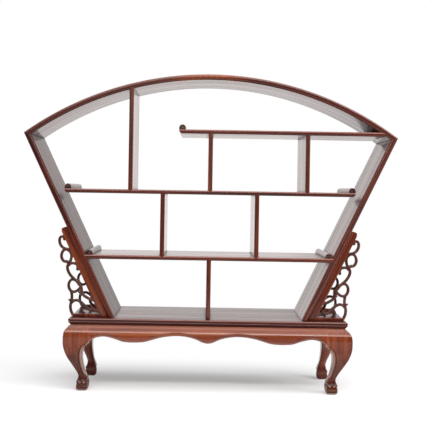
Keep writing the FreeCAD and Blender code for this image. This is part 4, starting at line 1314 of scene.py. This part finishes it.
@dataclass(frozen=True)
class ScrollBrackets:
    """Pierced brackets beside the side boards: a stile, a rail and scrolling strands."""

    fan: FanFrame
    height: float = 158.0
    foot: float = 63.0
    thick: float = 7.0
    set_back: float = 6.0
    stile_width: float = 12.2
    rail_height: float = 5.0
    strand_width: float = 5.0
    strand_spans: int = 6
    ring_faces: int = 12
    voxel: float = 0.55
    # Exponent that squares a strand's section up, its width at a leaf's point, and how much of
    # its thickness would be left where its width came to nothing
    squareness: float = 0.6
    leaf_point: float = 0.5
    thin_share: float = 0.4
    # Rounded top of the stile: shares of its width and how far below its top they lie
    stile_round: tuple[Point, ...] = ((0.0, 0.0), (0.35, 0.6), (0.72, 3.2))
    stile_shoulder: float = 9.0
    # Chamfer at the rail's end: its length and the height where it starts
    rail_chamfer: Point = (2.2, 2.8)
    # How far beyond the stile and above the slab the strands' own finish starts
    fret_start: Point = (0.6, 5.4)

    def place(self, out: float, rise: float) -> Point:
        """Point of the front left bracket, by thousandths of its foot and of its height."""
        up = self.fan.slab_top + self.height * (rise / 1000)
        return -(self.fan.half_width(up) + self.foot * (out / 1000)), up

    @property
    def middle(self) -> float:
        """Place of the bracket's middle plane, along Y."""
        return -self.fan.depth / 2 + self.set_back + self.thick / 2

    def bud(self, out: float, rise: float, radius: float) -> BMesh:
        """Round bud through the bracket's thickness.

        Args:
            out: Place out from the side board, as for a strand.
            rise: Place up, as for a strand.
            radius: The bud's radius in the front view.

        Returns:
            The bud's mesh.
        """
        bm = bmesh.new()
        bmesh.ops.create_icosphere(bm, subdivisions=3, radius=radius * MM)
        bmesh.ops.scale(bm, vec=(1.0, self.thick / 2 / radius, 1.0), verts=bm.verts)
        across, up = self.place(out, rise)
        bmesh.ops.translate(bm, vec=Vector((across, self.middle, up)) * MM, verts=bm.verts)
        return bm

    def strand(self, shape: Sequence[Point], point_share: float = 1.0) -> BMesh:
        """Carry a rounded section along a strand's line.

        Args:
            shape: The strand's points in thousandths.
            point_share: The width at its end as a share of the width at its start.

        Returns:
            The strand's mesh.
        """
        line = [Vector(point) for point in
                smooth_line([self.place(*spot) for spot in shape], self.strand_spans)]
        last = len(line) - 1
        rings = []
        for index, point in enumerate(line):
            ahead = line[min(index + 1, last)] - line[max(index - 1, 0)]
            side = Vector((-ahead.y, ahead.x)).normalized()
            taper = 1.0 + (point_share - 1.0) * index / last
            full = self.thin_share + (1.0 - self.thin_share) * taper
            ring = []
            for step in range(self.ring_faces):
                turn = 2 * math.pi * step / self.ring_faces
                across = self.squared(math.cos(turn)) * self.strand_width / 2 * taper
                through = self.squared(math.sin(turn)) * self.thick / 2 * full
                spot = point + side * across
                ring.append(Vector((spot.x, self.middle + through, spot.y)) * MM)
            rings.append(ring)
        return loft(rings)

    def squared(self, share: float) -> float:
        """Square a round section up a little."""
        return math.copysign(abs(share) ** self.squareness, share)

    def flat_bar(self, corners: Sequence[Point]) -> BMesh:
        """Bar of the bracket's thickness with an outline in the front view."""
        return loft([[Vector((x, self.middle + back, z)) * MM for x, z in corners]
                     for back in (-self.thick / 2, self.thick / 2)])

    def whole(self) -> BMesh:
        """Put the stile, the rail, the strands, the leaf tips and the buds together.

        Returns:
            The front left bracket's overlapping parts.
        """
        half_width, top = self.fan.half_width, self.fan.slab_top
        across = self.stile_width * self.fan.stretch
        high = top + self.height
        shoulder = high - self.stile_shoulder
        stile = [(-half_width(top), top)]
        stile += [(-(half_width(high) + across * share), high - down)
                  for share, down in self.stile_round]
        stile += [(-(half_width(shoulder) + across), shoulder),
                  (-(half_width(top) + across), top)]
        end = self.fan.foot_half_width + self.foot
        length, rise = self.rail_chamfer
        rail = [(-half_width(top), top), (-half_width(top), top + self.rail_height),
                (-end + length, top + self.rail_height), (-end, top + rise), (-end, top)]
        parts = [self.flat_bar(stile), self.flat_bar(rail)]
        parts += [self.strand(shape) for shape in STRANDS]
        parts += [self.strand(shape, self.leaf_point) for shape in LEAF_TIPS]
        parts += [self.bud(*bud) for bud in BUDS]
        joined = bmesh.new()
        for part in parts:
            mesh = bpy.data.meshes.new("part")
            part.to_mesh(mesh)
            part.free()
            joined.from_mesh(mesh)
            bpy.data.meshes.remove(mesh)
        return joined

    def carved(self) -> BMesh:
        """Melt the overlapping parts to one skin with soft edges.

        Returns:
            The front left bracket's closed mesh.
        """
        item = solid("carving", self.whole())
        mesh = item.data
        remesh = item.modifiers.new("melt", "REMESH")
        remesh.mode = "VOXEL"
        remesh.voxel_size = self.voxel * MM
        smooth = item.modifiers.new("soften", "SMOOTH")
        smooth.factor = 0.5
        smooth.iterations = 4
        graph = bpy.context.evaluated_depsgraph_get()
        carved = bmesh.new()
        carved.from_mesh(item.evaluated_get(graph).to_mesh())
        bpy.data.objects.remove(item)
        bpy.data.meshes.remove(mesh)
        return carved

    def build(self) -> None:
        """Make and dress the four brackets."""
        bracket = self.carved()
        beyond_stile, above_slab = self.fret_start
        reach = self.stile_width * self.fan.stretch + beyond_stile
        for face in bracket.faces:
            across, _, up = face.calc_center_median() / MM
            beyond = -across - self.fan.half_width(up)
            face.material_index = int(beyond > reach and up > self.fan.slab_top + above_slab)
        angle = self.fan.angle
        # The rear brackets' darker tones and thinner coat are painted shade
        for (end, back), tones, coat in zip(ENDS, (FRET_TONES, SHADED_REAR_FRET_TONES), (1.0, 0.55)):
            for side, across in SIDES:
                grain = Grain.UP_RIGHT_BOARD if across else Grain.UP_LEFT_BOARD
                stile = Rosewood("stile", STILE_TONES, grain, 20 + back, wear_grime_and_light=1.0, streak=0.75,
                                 board_angle=angle, arris_highlight_and_rubbing=0.5)
                fret = Rosewood("fret", tones, grain, 22 + back, wear_grime_and_light=1.0, coat=coat,
                                board_angle=angle)
                dress(flipped(bracket, across, back), "%s_%s_bracket" % (end, side),
                      stile.material(), fret.material(), sharp=180.0)
        bracket.free()


class HiddenJoinery:
    """Pieces inside the joints, which keep their CAD shapes."""

    FINISHES = {
        "corner_splines": PlainWood("bare_hardwood", (0.20, 0.11, 0.06), (0.42, 0.25, 0.14)),
        "glue_blocks": PlainWood("glue_block_wood", (0.22, 0.12, 0.06), (0.45, 0.27, 0.15)),
        "bracket_pins": PlainWood("bamboo", (0.50, 0.36, 0.18), (0.72, 0.56, 0.32)),
    }

    def build(self) -> None:
        """Give each hidden node its bare wood."""
        for node, finish in self.FINISHES.items():
            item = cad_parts[node]
            item.data.materials.clear()
            item.data.materials.append(finish.material())
            log.info("%s keeps its CAD shape", node)


@dataclass(frozen=True)
class Lamp:
    """Soft rectangular lamp that points at the object's middle line."""

    name: str
    place: Triple
    aim_height: float
    size: Point
    power: float

    def hang(self) -> None:
        """Put the lamp into the scene."""
        light = bpy.data.lights.new(self.name, "AREA")
        light.shape = "RECTANGLE"
        light.size, light.size_y = self.size
        light.energy = self.power
        item = linked(self.name, light)
        item.location = self.place
        aim = Vector((0.0, 0.0, self.aim_height)) - Vector(self.place)
        item.rotation_euler = aim.to_track_quat("-Z", "Y").to_euler()


@dataclass(frozen=True)
class Studio:
    """White floor, soft light from above and the photograph's camera."""

    camera_place: Triple = (-0.0138, -1.4917, 0.3554)
    lens: float = 67.63
    shift: Point = (0.03185, -0.05967)
    roll: float = 0.01695
    floor_reach: float = 1.25
    floor_lift: float = 0.26
    # Middle of the floor's grey part, and the distances between which it turns white
    grey_middle: Triple = (0.05, -0.22, 0.0)
    grey_reach: Point = (0.38, 0.85)
    # Places along Y between which the floor turns white to the eye and in reflections
    seen_behind: Point = (0.02, 0.24)
    mirrored_behind: Point = (0.10, 0.60)
    floor_grey: tuple[float, ...] = (0.80, 0.80, 0.80, 1.0)
    world_light: float = 0.24
    # World seen in reflections: its light in front and on the right, and where each one fades
    front_glow: float = 0.07
    right_glow: float = 0.80
    front_fade: Point = (-0.5, 0.4)
    right_fade: Point = (0.09, 0.15)
    reflected: tuple[float, ...] = (1.0, 0.94, 0.93, 1.0)
    lamps: tuple[Lamp, ...] = (
        Lamp("top_softbox", (0.30, -0.58, 1.60), 0.20, (2.6, 2.0), 36.0),
        Lamp("edge_strip", (0.0, -1.35, 1.40), 0.10, (2.6, 0.18), 14.0),
        Lamp("right_softbox", (1.70, -0.75, 0.95), 0.30, (0.7, 1.1), 12.0),
        Lamp("front_fill", (-0.6, -2.4, 1.1), 0.25, (1.4, 1.0), 4.0),
    )

    def floor(self) -> None:
        """Lay a round white floor that keeps the object's shadow."""
        bm = bmesh.new()
        bmesh.ops.create_circle(bm, cap_ends=True, radius=self.floor_reach, segments=128)
        item = solid("floor", bm)
        material = bpy.data.materials.new("white_floor")
        sheet = NodeSheet(material)
        back = sheet.parts()[1]
        centred = sheet.add("Mapping", {"Vector": sheet.place(), "Location": self.grey_middle})
        away = sheet.add("VectorMath", {0: centred.outputs[0]}, operation="LENGTH")
        far = sheet.math("MAXIMUM", sheet.fade(away.outputs["Value"], *self.grey_reach),
                         sheet.fade(back, *self.seen_behind))
        ray = sheet.add("LightPath").outputs
        mirrored = sheet.fade(back, *self.mirrored_behind, way="LINEAR")
        seen = sheet.math("MULTIPLY_ADD", ray["Is Glossy Ray"], mirrored, ray["Is Camera Ray"])
        lit = sheet.add("BsdfDiffuse", {"Color": self.floor_grey}).outputs[0]
        lift, glow = (sheet.add("Emission", {"Color": WHITE, "Strength": strength}).outputs[0]
                      for strength in (sheet.math("MULTIPLY", seen, self.floor_lift), 1.0))
        near = sheet.add("AddShader", {0: lit, 1: lift}).outputs[0]
        mixed = sheet.add("MixShader", {0: sheet.math("MULTIPLY", far, seen), 1: near, 2: glow})
        sheet.add("OutputMaterial", {"Surface": mixed.outputs[0]})
        item.data.materials.append(material)

    def world(self) -> None:
        """Surround the object with white that lights it softly."""
        world = bpy.data.worlds.new("white_room")
        bpy.context.scene.world = world
        sheet = NodeSheet(world)
        ray = sheet.add("LightPath").outputs
        across, depth, _ = sheet.parts("Generated")
        sheen = sheet.math("MULTIPLY", sheet.fade(depth, *self.front_fade, self.front_glow, 1.0),
                           sheet.fade(across, *self.right_fade, 1.0, self.right_glow))
        unseen = sheet.fade(ray["Is Glossy Ray"], 0.0, 1.0, self.world_light, sheen, "LINEAR")
        strength = sheet.fade(ray["Is Camera Ray"], 0.0, 1.0, unseen, 1.0, "LINEAR")
        tint = sheet.mixed(ray["Is Glossy Ray"], WHITE, self.reflected, "MIX")
        background = sheet.add("Background", {"Color": tint, "Strength": strength})
        sheet.add("OutputWorld", {"Surface": background.outputs[0]})

    def camera(self) -> None:
        """Set up the camera as in the photograph."""
        data = bpy.data.cameras.new("camera")
        data.sensor_width = 36.0
        data.lens = self.lens
        data.shift_x, data.shift_y = self.shift
        item = linked("camera", data)
        level = Matrix.Rotation(QUARTER_TURN, 4, "X") @ Matrix.Rotation(self.roll, 4, "Z")
        item.matrix_world = Matrix.Translation(self.camera_place) @ level
        bpy.context.scene.camera = item

    def build(self) -> None:
        """Set the stage, the lamps and the camera."""
        self.floor()
        self.world()
        for lamp in self.lamps:
            lamp.hang()
        bpy.context.scene.view_settings.view_transform = "Standard"
        self.camera()


def main() -> None:
    """Build every sub-assembly in order."""
    logging.basicConfig(level=logging.INFO, format="%(message)s")
    fan = FanFrame()
    for assembly in (fan, Shelves(fan), BaseSlab(), Stand(), ScrollBrackets(fan),
                     HiddenJoinery(), Studio()):
        assembly.build()


if __name__ == "__main__":
    main()
